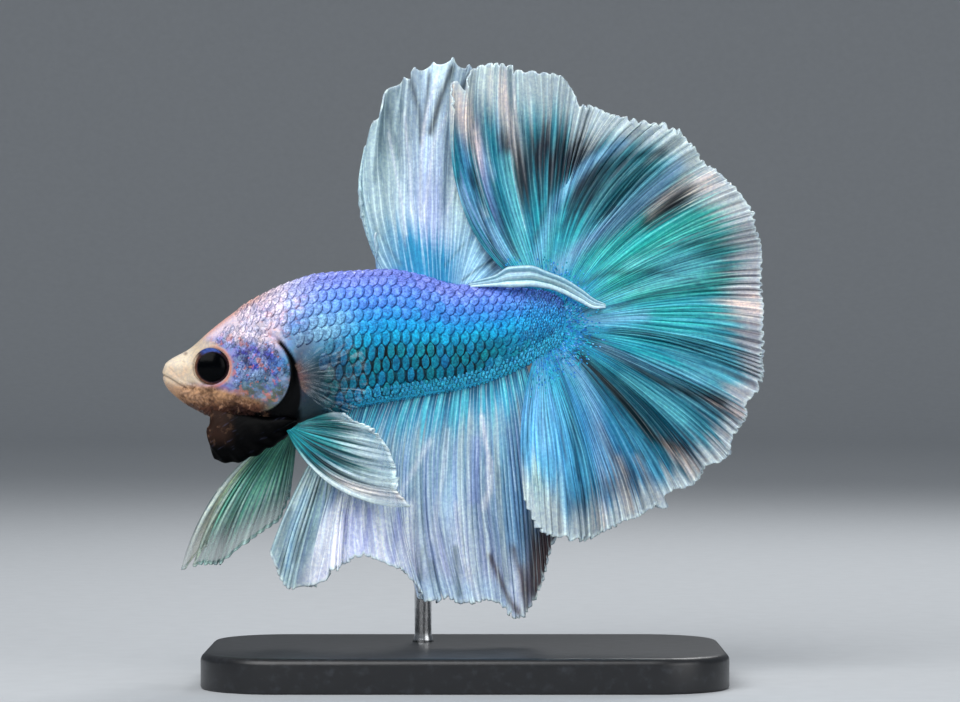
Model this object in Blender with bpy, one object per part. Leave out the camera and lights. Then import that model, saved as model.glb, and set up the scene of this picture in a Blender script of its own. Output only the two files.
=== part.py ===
"""Halfmoon betta fish on a display stand: the still model's solids.

Metres in the file, millimetres in the tables. +Z is up, the snout points to -X and the fish's left
side to -Y. The origin is the middle of the stand's underside. The body is a row of closed sections
parted by thin cuts, and each fin is a fan of rays with one thickness.
"""

import math

import bpy
import numpy as np

MM = 0.001
GAP = 0.3            # clear space between neighbouring solids
FIN_THICKNESS = 0.56

# Body, nose to tail root. Each row is (distance along X, height or half width).
SNOUT_X = -35.1
TAIL_ROOT_X = 11.8
BACK_LINE = (
    (-35.1, 36.4), (-34.3, 37.2), (-32.0, 38.6), (-29.6, 40.7), (-27.3, 42.5), (-25.0, 44.1),
    (-20.4, 46.3), (-17.0, 47.3), (-12.2, 47.65), (-8.8, 47.8), (-5.3, 47.2), (-0.6, 46.0),
    (4.0, 46.0), (8.6, 45.5), (11.0, 44.5), (11.8, 43.2),
)
BELLY_LINE = (
    (-35.1, 34.8), (-34.3, 33.5), (-32.0, 31.6), (-29.1, 30.3), (-25.0, 29.6), (-21.5, 29.1),
    (-17.0, 30.2), (-13.0, 31.4), (-5.3, 32.8), (-0.6, 33.6), (4.0, 35.0), (7.5, 36.6),
    (11.0, 38.9), (11.8, 40.0),
)
HALF_WIDTH = (
    (-35.1, 0.85), (-34.3, 1.35), (-32.0, 2.1), (-29.3, 2.85), (-26.0, 3.65), (-22.0, 4.25),
    (-16.0, 4.3), (-8.8, 3.85), (-3.0, 3.2), (1.7, 2.5), (6.3, 1.7), (9.0, 1.2), (11.8, 0.6),
)
WIDEST_AT = 0.52         # height of the widest point, as a share of the section's height
SECTION_POWER = 2.15     # 2 is an ellipse, more is fuller
RING_POINTS = 20
RING_SPACING = 1.5
BODY_CUTS = (            # each length of the body, from its front face to its rear face
    ("head", SNOUT_X, -20.0),
    ("trunk_front", -20.0, -10.8),
    ("trunk_middle", -10.8, -1.0),
    ("trunk_rear", -1.0, 6.2),
    ("tail_root", 6.2, TAIL_ROOT_X),
)

# Head
EYE_CENTRE = (-29.3, 1.95, 36.4)
EYE_RADIUS = 2.25
EYE_DEPTH = 1.35         # half the eyeball's thickness across the head
MOUTH_CORNER = (-32.3, 34.2)
MOUTH_FRONT = (-36.2, 35.7)
JAW_HINGE = (-28.4, 29.5)
GILL_COVER_CENTRE = (-23.7, 35.7)
GILL_COVER_SIZE = (3.35, 4.3)      # half length, half height
GILL_COVER_THICKNESS = 0.7
GILL_COVER_LIFT = 0.45             # how far the rear edge stands off the head
BEARD_FRONT_X = -29.7
BEARD_REAR_X = -21.6
BEARD_LOWER_EDGE = ((-29.7, 27.6), (-29.0, 25.6), (-27.0, 25.2), (-24.4, 26.0), (-21.6, 27.6))
BEARD_HALF_WIDTH = 2.3

# Tail fin: a fan round one centre. Angles are degrees above the horizontal, rearward.
FAN_CENTRE = (9.6, 41.2)
FAN_TOP_ANGLE = 116.0
FAN_LOW_ANGLE = -99.5
FAN_RIM = (
    (-99.5, 21.0), (-94.0, 24.0), (-82.0, 25.0), (-60.0, 24.3), (-50.0, 24.7), (-36.0, 25.6),
    (-18.0, 25.5), (8.0, 25.3), (34.0, 27.0), (57.0, 27.0), (68.0, 25.6), (79.0, 25.8),
    (88.0, 29.0), (103.0, 30.5), (116.0, 27.8),
)
FAN_FOLDS = (            # angle, depth at the rim (+ is away to the right side), half width
    (83.0, 1.1, 6.0), (68.0, -1.0, 6.0), (50.0, 1.0, 7.0), (28.0, -0.8, 8.0), (6.0, -0.7, 5.0),
    (-12.0, 0.8, 6.0), (-24.0, -1.1, 5.0), (-33.0, 1.2, 4.5), (-41.0, -1.0, 5.0), (-50.0, 1.2, 5.0),
    (-63.0, -0.9, 6.0), (-76.0, 0.9, 6.0),
)
FAN_CURL = 3.8           # how far the fan's two ends come forward to the left side
REAR_FOOT_SHIFT = 0.35   # the anal fin's last feet sit this far right, the fan's end feet this far left
FAN_GRID = (60, 7)

# Other fins: rays from front to rear, each (foot x, foot z, tip x, tip z, tip y, bow).
# Bow is the sideways bulge as a share of the ray's length, + towards the front.
DORSAL_RAYS = (
    (-10.2, 48.1, -10.6, 50.0, 0.0, 0.0),
    (-9.2, 48.1, -11.6, 61.2, 0.2, 0.11),
    (-8.0, 48.0, -9.8, 65.4, -0.7, 0.08),
    (-6.8, 47.8, -8.1, 69.2, 0.8, 0.04),
    (-5.2, 47.6, -6.2, 70.2, -0.4, 0.03),
    (-3.9, 47.2, -3.8, 71.2, 1.0, 0.02),
    (-2.9, 46.9, -1.4, 71.6, 0.2, 0.02),
    (-2.0, 46.7, 1.0, 70.6, 1.4, 0.02),
    (-1.2, 46.5, 3.6, 67.5, 1.0, 0.02),
    (-0.6, 46.4, 6.0, 60.0, 1.6, 0.04),
    (0.0, 46.4, 6.0, 52.5, 1.5, 0.05),
    (0.6, 46.4, 4.8, 48.9, 1.3, 0.0),
)
DORSAL_GRID = (30, 7)
DORSAL_LOCK = ((0.9, 46.5), (15.6, 43.9))   # last rays, laid back together over the tail root
DORSAL_LOCK_ARCH = 1.35
DORSAL_LOCK_HALF_WIDTH = 0.95
ANAL_RAYS = (
    (-14.6, 30.4, -22.4, 15.0, -0.2, 0.03),
    (-13.8, 30.7, -21.0, 11.0, 0.9, 0.04),
    (-13.0, 30.9, -18.2, 10.2, 1.1, 0.03),
    (-12.0, 31.1, -15.8, 12.4, -0.9, 0.02),
    (-10.4, 31.5, -13.6, 13.6, 0.5, 0.02),
    (-8.6, 31.8, -10.6, 14.3, -0.7, 0.01),
    (-6.8, 32.1, -7.0, 11.8, 0.7, 0.0),
    (-5.2, 32.3, -5.2, 9.6, -0.5, 0.0),
    (-3.0, 32.7, -2.6, 9.6, 0.7, 0.0),
    (-0.8, 33.1, 0.6, 9.0, -0.5, 0.0),
    (1.4, 33.7, 2.6, 9.0, 0.8, 0.0),
    (3.4, 34.4, 6.2, 6.9, 0.4, 0.0),
    (5.0, 35.0, 8.0, 9.2, 1.3, -0.02),
    (6.2, 35.6, 9.6, 14.2, 1.0, -0.02),
    (7.0, 35.9, 11.0, 19.0, 1.2, -0.02),
)
ANAL_GRID = (45, 7)
LEFT_PELVIC_RAYS = (
    (-20.6, 28.4, -6.1, 20.2, -5.2, 0.15),
    (-20.4, 28.5, -8.0, 22.6, -5.6, 0.11),
    (-20.1, 28.6, -7.9, 24.6, -5.0, 0.07),
    (-19.8, 28.8, -9.2, 27.2, -5.4, 0.0),
    (-19.5, 29.0, -10.6, 29.4, -5.0, -0.05),
    (-19.2, 29.2, -14.0, 30.6, -4.6, -0.08),
)
RIGHT_PELVIC_RAYS = (
    (-20.9, 28.5, -33.3, 12.7, 5.0, 0.10),
    (-20.7, 28.5, -31.5, 13.0, 5.3, 0.08),
    (-20.4, 28.5, -29.2, 13.2, 5.0, 0.05),
    (-20.1, 28.6, -25.4, 16.2, 5.4, 0.02),
    (-19.8, 28.7, -22.0, 18.6, 5.0, 0.0),
    (-19.5, 28.8, -20.6, 22.6, 4.8, 0.0),
)
PELVIC_FOOT_Y = 2.3
PELVIC_GRID = (12, 8)
PECTORAL_RAYS = (         # mirrored for the right side; tip y is the distance out from the middle
    (-19.6, 36.6, -14.6, 40.4, 5.6, 0.04),
    (-19.3, 35.9, -12.4, 39.2, 6.0, 0.02),
    (-19.1, 35.3, -11.2, 36.8, 6.2, 0.0),
    (-19.0, 34.8, -11.2, 34.2, 6.2, 0.0),
    (-18.9, 34.3, -12.4, 32.0, 6.1, -0.02),
    (-18.8, 33.8, -14.6, 31.0, 5.9, -0.04),
)
PECTORAL_GRID = (11, 6)

# Stand
BASE_SIZE = (60.0, 36.0, 4.0)
BASE_CORNER = 9.0
BASE_BEVEL = 0.8
ROD_RADIUS = 1.0
ROD_FOOT = (-5.0, 6.2)
ROD_TOP = (-5.0, 1.3, 35.5)


def curve(table, x):
    """Smooth curve through the table's rows that never overshoots them (cubic, limited slopes)."""
    xs, ys = np.array(table, float).T
    steps = np.diff(xs)
    rises = np.diff(ys) / steps
    slopes = np.zeros(len(xs))
    slopes[0], slopes[-1] = rises[0], rises[-1]
    same = rises[:-1] * rises[1:] > 0
    slopes[1:-1][same] = 2 * (rises[:-1] * rises[1:])[same] / (rises[:-1] + rises[1:])[same]
    x = np.clip(x, xs[0], xs[-1])
    i = np.clip(np.searchsorted(xs, x) - 1, 0, len(xs) - 2)
    t = (x - xs[i]) / steps[i]
    start = (1 + 2 * t) * (1 - t) ** 2 * ys[i] + t * (1 - t) ** 2 * steps[i] * slopes[i]
    end = t * t * (3 - 2 * t) * ys[i + 1] + t * t * (t - 1) * steps[i] * slopes[i + 1]
    return start + end


def section(x, grow=0.0):
    """Middle height, upper and lower reach and half width of the body at x."""
    top, low = curve(BACK_LINE, x), curve(BELLY_LINE, x)
    middle = low + WIDEST_AT * (top - low)
    return middle, top - middle + grow, middle - low + grow, curve(HALF_WIDTH, x) + grow


def flank(x, z):
    """Distance from the middle plane out to the body's side, at x and height z."""
    middle, up, down, wide = section(x)
    reach = np.where(z > middle, up, down)
    share = np.clip(np.abs(z - middle) / reach, 0, 1)
    return wide * (1 - share ** SECTION_POWER) ** (1 / SECTION_POWER)


def underside(x, y):
    """Height of the body's lower surface, at x and distance y from the middle plane."""
    middle, _, down, wide = section(x)
    share = np.clip(np.abs(y) / wide, 0, 1)
    return middle - down * (1 - share ** SECTION_POWER) ** (1 / SECTION_POWER)


def ring(x, grow=0.0):
    """One closed section of the body: a superellipse whose lower half has its own reach."""
    middle, up, down, wide = section(x, grow)
    a = np.arange(RING_POINTS) * 2 * math.pi / RING_POINTS
    cos, sin = np.cos(a), np.sin(a)
    y = wide * np.sign(cos) * np.abs(cos) ** (2 / SECTION_POWER)
    z = middle + np.where(sin > 0, up, down) * np.sign(sin) * np.abs(sin) ** (2 / SECTION_POWER)
    return np.stack([np.full(RING_POINTS, x), y, z], axis=1)


def finish(name, colour, roughness, metallic=0.0):
    """A Principled material with one colour (linear), roughness and metallic value."""
    material = bpy.data.materials.new(name)
    material.use_nodes = True
    shader = material.node_tree.nodes["Principled BSDF"]
    shader.inputs["Base Color"].default_value = (*colour, 1.0)
    shader.inputs["Roughness"].default_value = roughness
    shader.inputs["Metallic"].default_value = metallic
    return material


def solid(name, points, faces, material=None):
    """A mesh object from points in millimetres."""
    mesh = bpy.data.meshes.new(name)
    mesh.from_pydata((np.asarray(points) * MM).tolist(), [], [list(map(int, f)) for f in faces])
    mesh.validate()
    thing = bpy.data.objects.new(name, mesh)
    bpy.context.collection.objects.link(thing)
    if material:
        mesh.materials.append(material)
        mesh.shade_smooth()
        mesh.set_sharp_from_angle(angle=math.radians(40))
    return thing


def loft(name, rings, material=None):
    """Closed solid through rings of equal length, counted from front to rear."""
    rings = np.asarray(rings)
    count, around = rings.shape[:2]
    faces = [
        (i * around + j, i * around + (j + 1) % around,
         (i + 1) * around + (j + 1) % around, (i + 1) * around + j)
        for i in range(count - 1) for j in range(around)
    ]
    faces.append(range(around - 1, -1, -1))
    faces.append(range((count - 1) * around, count * around))
    return solid(name, rings.reshape(-1, 3), faces, material)


def sheet(name, front, back, material=None):
    """Closed solid between two grids of the same shape: its two sides and the four edges."""
    rows, cols = front.shape[:2]
    points = np.concatenate([front.reshape(-1, 3), back.reshape(-1, 3)])

    def at(side, i, j):
        return side * rows * cols + i * cols + j

    faces = []
    for i in range(rows - 1):
        for j in range(cols - 1):
            faces.append((at(0, i, j), at(0, i + 1, j), at(0, i + 1, j + 1), at(0, i, j + 1)))
            faces.append((at(1, i, j), at(1, i, j + 1), at(1, i + 1, j + 1), at(1, i + 1, j)))
    border = [(i, 0) for i in range(rows)] + [(rows - 1, j) for j in range(1, cols)]
    border += [(i, cols - 1) for i in range(rows - 2, -1, -1)] + [(0, j) for j in range(cols - 2, 0, -1)]
    for a, b in zip(border, border[1:] + border[:1]):
        faces.append((at(0, *b), at(0, *a), at(1, *a), at(1, *b)))
    return solid(name, points, faces, material)


def thicken(name, grid, thickness, material):
    """Closed solid of one thickness about a grid of middle points, offset along its normals."""
    along = np.gradient(grid, axis=0)
    across = np.gradient(grid, axis=1)
    normal = np.cross(along, across)
    normal /= np.linalg.norm(normal, axis=2, keepdims=True)
    return sheet(name, grid + normal * thickness / 2, grid - normal * thickness / 2, material)


def cutter(target, tool, operation="DIFFERENCE"):
    """Cuts target with tool and keeps the tool out of the model."""
    tool.hide_render = True
    tool.display_type = "WIRE"
    cut = target.modifiers.new(tool.name, "BOOLEAN")
    cut.operation = operation
    cut.object = tool


def ellipsoid(name, centre, radii, material=None, around=20, rings=10):
    """Closed ellipsoid with its poles along Y."""
    points = []
    for i in range(1, rings):
        a = math.pi * i / rings
        for j in range(around):
            b = 2 * math.pi * j / around
            points.append((math.sin(a) * math.cos(b), -math.cos(a), math.sin(a) * math.sin(b)))
    faces = [
        (i * around + j, i * around + (j + 1) % around,
         (i + 1) * around + (j + 1) % around, (i + 1) * around + j)
        for i in range(rings - 2) for j in range(around)
    ]
    first, last = len(points), len(points) + 1
    points += [(0, -1, 0), (0, 1, 0)]
    end = (rings - 2) * around
    for j in range(around):
        faces.append((first, (j + 1) % around, j))
        faces.append((last, end + j, end + (j + 1) % around))
    faces = [tuple(reversed(face)) for face in faces]
    return solid(name, np.array(points) * radii + centre, faces, material)


def stations(front, rear):
    """Places of the sections between two ends, about RING_SPACING apart."""
    return np.linspace(front, rear, max(3, 1 + math.ceil((rear - front) / RING_SPACING)))


def body_length(name, front, rear, material):
    """One length of the body, short of its neighbours by half a gap at each cut face."""
    front += GAP / 2 if front > SNOUT_X else 0
    rear -= GAP / 2 if rear < TAIL_ROOT_X else 0
    xs = stations(front, rear)
    if front == SNOUT_X:
        xs = np.concatenate([[front, front + 0.35, front + 0.8], xs[1:]])
    if rear == TAIL_ROOT_X:
        xs = np.concatenate([xs[:-1], [rear - 0.4, rear]])
    return loft(name, [ring(x) for x in xs], material)


def prism(name, outline, half_width):
    """A side-view outline drawn out across the whole head."""
    points = [(x, y, z) for y in (-half_width, half_width) for x, z in outline]
    n = len(outline)
    faces = [(i, (i + 1) % n, n + (i + 1) % n, n + i) for i in range(n)]
    faces += [range(n - 1, -1, -1), range(n, 2 * n)]
    return solid(name, points, faces)


def jaw_outline(grow):
    """The lower jaw from the side: under the mouth line, ahead of the hinge line."""
    return (
        (MOUTH_FRONT[0], MOUTH_FRONT[1] + grow), (MOUTH_CORNER[0] + grow, MOUTH_CORNER[1] + grow),
        (JAW_HINGE[0] + grow, JAW_HINGE[1] + grow), (JAW_HINGE[0] + grow, JAW_HINGE[1] - 4),
        (MOUTH_FRONT[0], JAW_HINGE[1] - 4),
    )


def gill_cover_disc(side, grow, outer, inner):
    """Two grids over the gill cover's egg-shaped outline, outer and inner from the head's side."""
    rings, around = 4, 20
    cx, cz = GILL_COVER_CENTRE
    a = np.linspace(0, 2 * math.pi, around, endpoint=False)
    grids = []
    for depth in (outer, inner):
        rows = []
        for r in np.linspace(0.28, 1, rings):
            x = cx + r * (GILL_COVER_SIZE[0] + grow) * np.cos(a)
            z = cz + r * (GILL_COVER_SIZE[1] + grow) * np.sin(a) - 0.25 * np.cos(a) ** 2
            lift = GILL_COVER_LIFT * np.clip((x - cx) / GILL_COVER_SIZE[0], 0, 1) ** 2
            y = side * (flank(x, z) + lift + depth)
            rows.append(np.stack([x, y, z], axis=1))
        grids.append(rows)
    outer_rows, inner_rows = grids
    return outer_rows + inner_rows[::-1]


def gill_cover(name, side, material, grow=0.0, outer=0.0, inner=-GILL_COVER_THICKNESS):
    """A closed egg-shaped plate on the side of the head, lifted a little at its rear edge."""
    rows = gill_cover_disc(side, grow, outer, inner)
    return loft(name, rows if side > 0 else [row[::-1] for row in rows], material)


def beard_lobe(name, side, material):
    """Half of the dark gill membrane that hangs under the throat, from its front to its rear."""
    rings = []
    for x in np.linspace(BEARD_FRONT_X, BEARD_REAR_X, 9):
        share = (x - BEARD_FRONT_X) / (BEARD_REAR_X - BEARD_FRONT_X)
        wide = BEARD_HALF_WIDTH * (0.62 + 0.38 * math.sin(math.pi * min(share + 0.15, 1)))
        low = curve(BEARD_LOWER_EDGE, x)
        ys = GAP / 2 + (wide - GAP / 2) * np.linspace(0, 1, 6)
        top = underside(x, ys) - GAP - 0.1
        fold = 0.35 * np.sin(np.linspace(0, 1, 6) * 2 * math.pi)
        drop = np.sqrt(np.clip(1 - ((ys - GAP / 2) / (wide + 0.1)) ** 2, 0, 1))
        bottom = np.minimum(low + (top[-1] - low) * (1 - drop) + fold * 0.4, top - 0.5)
        upper = np.stack([np.full(6, x), side * ys, top], axis=1)
        lower = np.stack([np.full(6, x), side * ys, bottom], axis=1)
        around = np.concatenate([upper, lower[::-1]])
        rings.append(around if side > 0 else around[::-1])
    return loft(name, [r[::-1] for r in rings], material)


def fan_foot(angle):
    """Where a tail ray leaves the body: just clear of the body's outline, on a line at angle."""
    reach = np.linspace(0, 9, 181)
    x = FAN_CENTRE[0] + reach * math.cos(angle)
    z = FAN_CENTRE[1] + reach * math.sin(angle)
    inside = (x < TAIL_ROOT_X) & (z < curve(BACK_LINE, x)) & (z > curve(BELLY_LINE, x))
    clear = GAP + 0.15
    edge = reach[np.nonzero(inside)[0].max()] + clear
    return FAN_CENTRE[0] + edge * math.cos(angle), FAN_CENTRE[1] + edge * math.sin(angle)


def fan_folds(angles):
    """Depth of the fan's folds at the rim: a sum of rounded bumps at their own angles."""
    depth = np.zeros_like(angles)
    for centre, height, half_width in FAN_FOLDS:
        depth += height * np.exp(-((angles - centre) / half_width) ** 2)
    return depth


def tail_fan_grid():
    """Middle surface of the tail fin: rays from the tail root, folded and curled to the rim."""
    across, along = FAN_GRID
    tips = np.linspace(FAN_TOP_ANGLE, FAN_LOW_ANGLE, across)
    radius = curve(FAN_RIM, tips)
    ends = np.clip((tips - 70) / 46, 0, 1) ** 1.4 + np.clip((-60 - tips) / 45, 0, 1) ** 1.4
    curl = 0.6 * np.cos(np.radians(tips)) - FAN_CURL * ends + fan_folds(tips)
    bow = 0.14 * np.clip((tips - 78) / 38, 0, 1) - 0.03 * np.clip((-85 - tips) / 15, 0, 1)
    v = np.linspace(0, 1, along)
    grid = np.zeros((across, along, 3))
    for i, tip in enumerate(tips):
        foot_angle = tip * (1.03 if tip > 0 else 1.14)
        foot = fan_foot(math.radians(foot_angle))
        end = (FAN_CENTRE[0] + radius[i] * math.cos(math.radians(tip)),
               FAN_CENTRE[1] + radius[i] * math.sin(math.radians(tip)))
        grid[i] = ray(foot, end, -REAR_FOOT_SHIFT * min(ends[i], 1), curl[i], bow[i], v)
    return grid


def ray(foot, tip, foot_y, tip_y, bow, v):
    """Points of one ray: a chord with a parabolic bow, leaving the middle plane towards its tip."""
    foot, tip = np.array(foot), np.array(tip)
    chord = tip - foot
    side = np.array([-chord[1], chord[0]])
    side_view = foot + np.outer(v, chord) + np.outer(4 * bow * v * (1 - v), side)
    y = foot_y + (tip_y - foot_y) * v ** 1.4
    return np.stack([side_view[:, 0], y, side_view[:, 1]], axis=1)


def fin_grid(rays, size, foot_y, below):
    """Middle surface through key rays; rays between them follow smooth curves of each number."""
    across, along = size
    keys = np.arange(len(rays), dtype=float)
    u = np.linspace(0, len(rays) - 1, across)
    v = np.linspace(0, 1, along)
    columns = [curve(np.stack([keys, column], axis=1), u) for column in np.array(rays).T]
    grid = np.zeros((across, along, 3))
    feet = np.broadcast_to(foot_y, across)
    for i, (fx, fz, tx, tz, ty, bow) in enumerate(zip(*columns)):
        grid[i] = ray((fx, fz), (tx, tz), feet[i], ty, -bow if below else bow, v)
    return grid


def dorsal_lock_grid():
    """The last dorsal rays laid back as one narrow leaf, arched over the tail root."""
    (x0, z0), (x1, z1) = DORSAL_LOCK
    t = np.linspace(0, 1, 12)
    s = np.linspace(-1, 1, 4)
    x = x0 + (x1 - x0) * t
    z = z0 + (z1 - z0) * t ** 1.6 + DORSAL_LOCK_ARCH * np.sin(math.pi * t ** 0.8) * (1 - 0.45 * t)
    wide = DORSAL_LOCK_HALF_WIDTH * (0.25 + 0.75 * np.sin(math.pi * t ** 0.65))
    y = -0.5 - 1.9 * np.clip(t / 0.5, 0, 1) ** 0.7
    grid = np.zeros((12, 4, 3))
    grid[..., 0] = x[:, None]
    grid[..., 1] = y[:, None]
    grid[..., 2] = z[:, None] + np.outer(wide, s)
    return grid


def build_body(paint):
    """The body's lengths, with the head's sockets, gill recesses and jaw cut from it."""
    parts = {name: body_length(name, front, rear, paint[name]) for name, front, rear in BODY_CUTS}
    head = parts["head"]
    jaw = body_length("lower_jaw", SNOUT_X, -20.0, paint["lower_jaw"])
    cutter(jaw, prism("jaw_block", jaw_outline(0), 6), "INTERSECT")
    cutter(head, prism("jaw_gap", jaw_outline(GAP), 6))
    for side, word in ((-1, "left"), (1, "right")):
        centre = (EYE_CENTRE[0], side * EYE_CENTRE[1], EYE_CENTRE[2])
        radii = np.array([EYE_RADIUS, EYE_DEPTH, EYE_RADIUS])
        ellipsoid(f"eye_{word}", centre, radii, paint["eye"])
        cutter(head, ellipsoid(f"socket_{word}", centre, radii + GAP))
        gill_cover(f"gill_cover_{word}", side, paint["gill_cover"])
        cutter(head, gill_cover(f"recess_{word}", side, None, GAP, 1.5, -GILL_COVER_THICKNESS - GAP))
        beard_lobe(f"gill_membrane_{word}", side, paint["gill_membrane"])


def build_fins(paint):
    """Every fin as a thin solid about its rays."""
    thick = FIN_THICKNESS
    thicken("caudal_fin", tail_fan_grid(), thick, paint["caudal_fin"])
    thicken("dorsal_fin", fin_grid(DORSAL_RAYS, DORSAL_GRID, 0.0, False), thick, paint["dorsal_fin"])
    thicken("dorsal_fin_last_rays", dorsal_lock_grid(), thick, paint["dorsal_fin"])
    anal_feet = REAR_FOOT_SHIFT * np.linspace(0, 1, ANAL_GRID[0]) ** 3
    thicken("anal_fin", fin_grid(ANAL_RAYS, ANAL_GRID, anal_feet, True), thick, paint["anal_fin"])
    left = fin_grid(LEFT_PELVIC_RAYS, PELVIC_GRID, -PELVIC_FOOT_Y, True)
    right = fin_grid(RIGHT_PELVIC_RAYS, PELVIC_GRID, PELVIC_FOOT_Y, True)
    thicken("pelvic_fin_left", left, thick, paint["pelvic_fin"])
    thicken("pelvic_fin_right", right, thick, paint["pelvic_fin"])
    foot_y = flank(-19.2, 35.2) + GAP + thick / 2 + 0.1
    pectoral = fin_grid(PECTORAL_RAYS, PECTORAL_GRID, foot_y, False)
    thicken("pectoral_fin_right", pectoral, thick, paint["pectoral_fin"])
    thicken("pectoral_fin_left", pectoral * (1, -1, 1), thick, paint["pectoral_fin"])


def base_outline(inset):
    """Rounded rectangle of the stand's base, drawn in by inset."""
    half_x, half_y = BASE_SIZE[0] / 2 - inset, BASE_SIZE[1] / 2 - inset
    radius = BASE_CORNER - inset
    points = []
    for turn in range(4):
        for step in range(7):
            a = math.radians(90 * turn + 15 * step)
            cx = (half_x - radius) * (1 if turn in (0, 3) else -1)
            cy = (half_y - radius) * (1 if turn in (0, 1) else -1)
            points.append((cx + radius * math.cos(a), cy + radius * math.sin(a)))
    return np.array(points)


def build_stand(paint):
    """A flat base with an eased top edge, and one leaning rod up to the right side of the belly."""
    rows = []
    for inset, z in ((0.3, 0.0), (0.0, 0.3), (0.0, BASE_SIZE[2] - BASE_BEVEL), (BASE_BEVEL, BASE_SIZE[2])):
        outline = base_outline(inset)
        rows.append(np.column_stack([outline, np.full(len(outline), z)]))
    loft("stand_base", rows, paint["stand"])
    low = np.array([*ROD_FOOT, BASE_SIZE[2] + GAP])
    top = np.array(ROD_TOP)
    a = np.arange(14) * 2 * math.pi / 14
    circle = np.stack([ROD_RADIUS * np.cos(a), ROD_RADIUS * np.sin(a), np.zeros(14)], axis=1)
    rod = loft("stand_rod", [low + circle, top + circle], paint["rod"])
    grown = loft("rod_rest", [ring(x, GAP) for x in np.linspace(-10, 0, 9)])
    cutter(rod, grown)


def main():
    for thing in list(bpy.data.objects):
        bpy.data.objects.remove(thing, do_unlink=True)
    paint = {
        "head": finish("painted_head", (0.62, 0.45, 0.42), 0.4),
        "lower_jaw": finish("painted_jaw", (0.55, 0.33, 0.20), 0.4),
        "trunk_front": finish("painted_nape", (0.30, 0.36, 0.72), 0.35),
        "trunk_middle": finish("painted_trunk", (0.06, 0.26, 0.55), 0.35),
        "trunk_rear": finish("painted_flank", (0.05, 0.24, 0.50), 0.35),
        "tail_root": finish("painted_tail_root", (0.05, 0.20, 0.60), 0.35),
        "eye": finish("glass_eye", (0.01, 0.01, 0.012), 0.08),
        "gill_cover": finish("painted_gill_cover", (0.22, 0.25, 0.55), 0.35),
        "gill_membrane": finish("black_membrane", (0.006, 0.005, 0.006), 0.45),
        "caudal_fin": finish("painted_tail_fin", (0.10, 0.42, 0.55), 0.4),
        "dorsal_fin": finish("painted_dorsal_fin", (0.52, 0.68, 0.82), 0.4),
        "anal_fin": finish("painted_anal_fin", (0.38, 0.52, 0.78), 0.4),
        "pelvic_fin": finish("painted_pelvic_fin", (0.20, 0.50, 0.48), 0.4),
        "pectoral_fin": finish("clear_fin_resin", (0.60, 0.72, 0.80), 0.2),
        "stand": finish("matt_black_base", (0.03, 0.03, 0.033), 0.55),
        "rod": finish("steel_rod", (0.60, 0.60, 0.62), 0.25, 1.0),
    }
    build_body(paint)
    build_fins(paint)
    build_stand(paint)


main()
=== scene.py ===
"""Halfmoon betta on a display stand: skin, scales, eyes, fins, stand and studio.

Everything is worked out in millimetres and turned to metres when a mesh is made. The snout points to
-X, the fish's left side to -Y, and +Z is up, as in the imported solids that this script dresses.
"""

import functools
import math

import bpy
import numpy as np
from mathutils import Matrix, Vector


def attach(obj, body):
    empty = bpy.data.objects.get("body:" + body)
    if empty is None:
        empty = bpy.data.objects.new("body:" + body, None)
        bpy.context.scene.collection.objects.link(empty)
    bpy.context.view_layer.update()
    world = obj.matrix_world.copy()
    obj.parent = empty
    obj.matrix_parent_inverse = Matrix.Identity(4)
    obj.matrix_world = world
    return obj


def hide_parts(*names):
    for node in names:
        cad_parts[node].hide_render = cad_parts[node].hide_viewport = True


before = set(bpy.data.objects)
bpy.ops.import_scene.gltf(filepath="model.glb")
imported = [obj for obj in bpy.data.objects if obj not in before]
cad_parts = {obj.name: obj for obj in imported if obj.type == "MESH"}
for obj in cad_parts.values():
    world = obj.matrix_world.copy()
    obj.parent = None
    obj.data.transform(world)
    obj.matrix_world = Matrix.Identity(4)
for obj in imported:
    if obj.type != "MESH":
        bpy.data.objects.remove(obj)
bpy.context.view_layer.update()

bl_info = {
    "name": "Halfmoon Betta Display Model",
    "version": (1, 0, 0),
    "blender": (4, 5, 0),
    "location": "View3D > Sidebar > Betta",
    "description": "Builds a life-size halfmoon betta with pleated fins on a plain stand",
    "category": "Add Mesh",
}

MM = 0.001
TURN = 2 * math.pi

# ---------------------------------------------------------------- body shape (mm), as in the solids
SNOUT_X = -35.1
TAIL_ROOT_X = 11.8
BACK_LINE = (
    (-35.1, 36.6), (-34.3, 37.3), (-32, 38.6), (-29.6, 40.7), (-27.3, 42.5), (-25, 44.1),
    (-20.4, 46.3), (-17, 47.3), (-12.2, 47.65), (-8.8, 47.8), (-5.3, 47.2), (-0.6, 46),
    (4, 46), (8.6, 45.5), (11, 44.5), (11.8, 43.2),
)
BELLY_LINE = (
    (-35.1, 34.5), (-34.3, 33.4), (-32, 31.6), (-29.1, 30.3), (-25, 29.6), (-21.5, 29.1),
    (-17, 30.2), (-13, 31.4), (-5.3, 32.8), (-0.6, 33.6), (4, 35), (7.5, 36.6),
    (11, 38.9), (11.8, 40),
)
HALF_WIDTH = (
    (-35.1, 0.85), (-34.3, 1.35), (-32, 2.1), (-29.3, 2.85), (-26, 3.65), (-22, 4.25),
    (-16, 4.3), (-8.8, 3.85), (-3, 3.2), (1.7, 2.5), (6.3, 1.7), (9, 1.2), (11.8, 0.6),
)
WIDEST_AT = 0.52
SECTION_POWER = 2.15
COAT_DEPTH = 0.14        # the skin lies this far inside the solids

# Head
EYE_CENTRE = np.array((-29.3, 1.95, 36.4))
EYE_RADII = np.array((2.2, 1.35, 2.2))
PUPIL_RADIUS = 1.7
PUPIL_PLACE = (0.16, -0.06)     # from the eye's centre, forward and down
MOUTH_LINE = ((-35.5, 35.45), (-34.9, 35.35), (-34.0, 34.9), (-33.1, 34.3), (-32.2, 33.9))
LIP_CREASE = ((-34.4, 36.3), (-33.7, 35.7), (-32.9, 34.9), (-32.1, 34.6))
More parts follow.
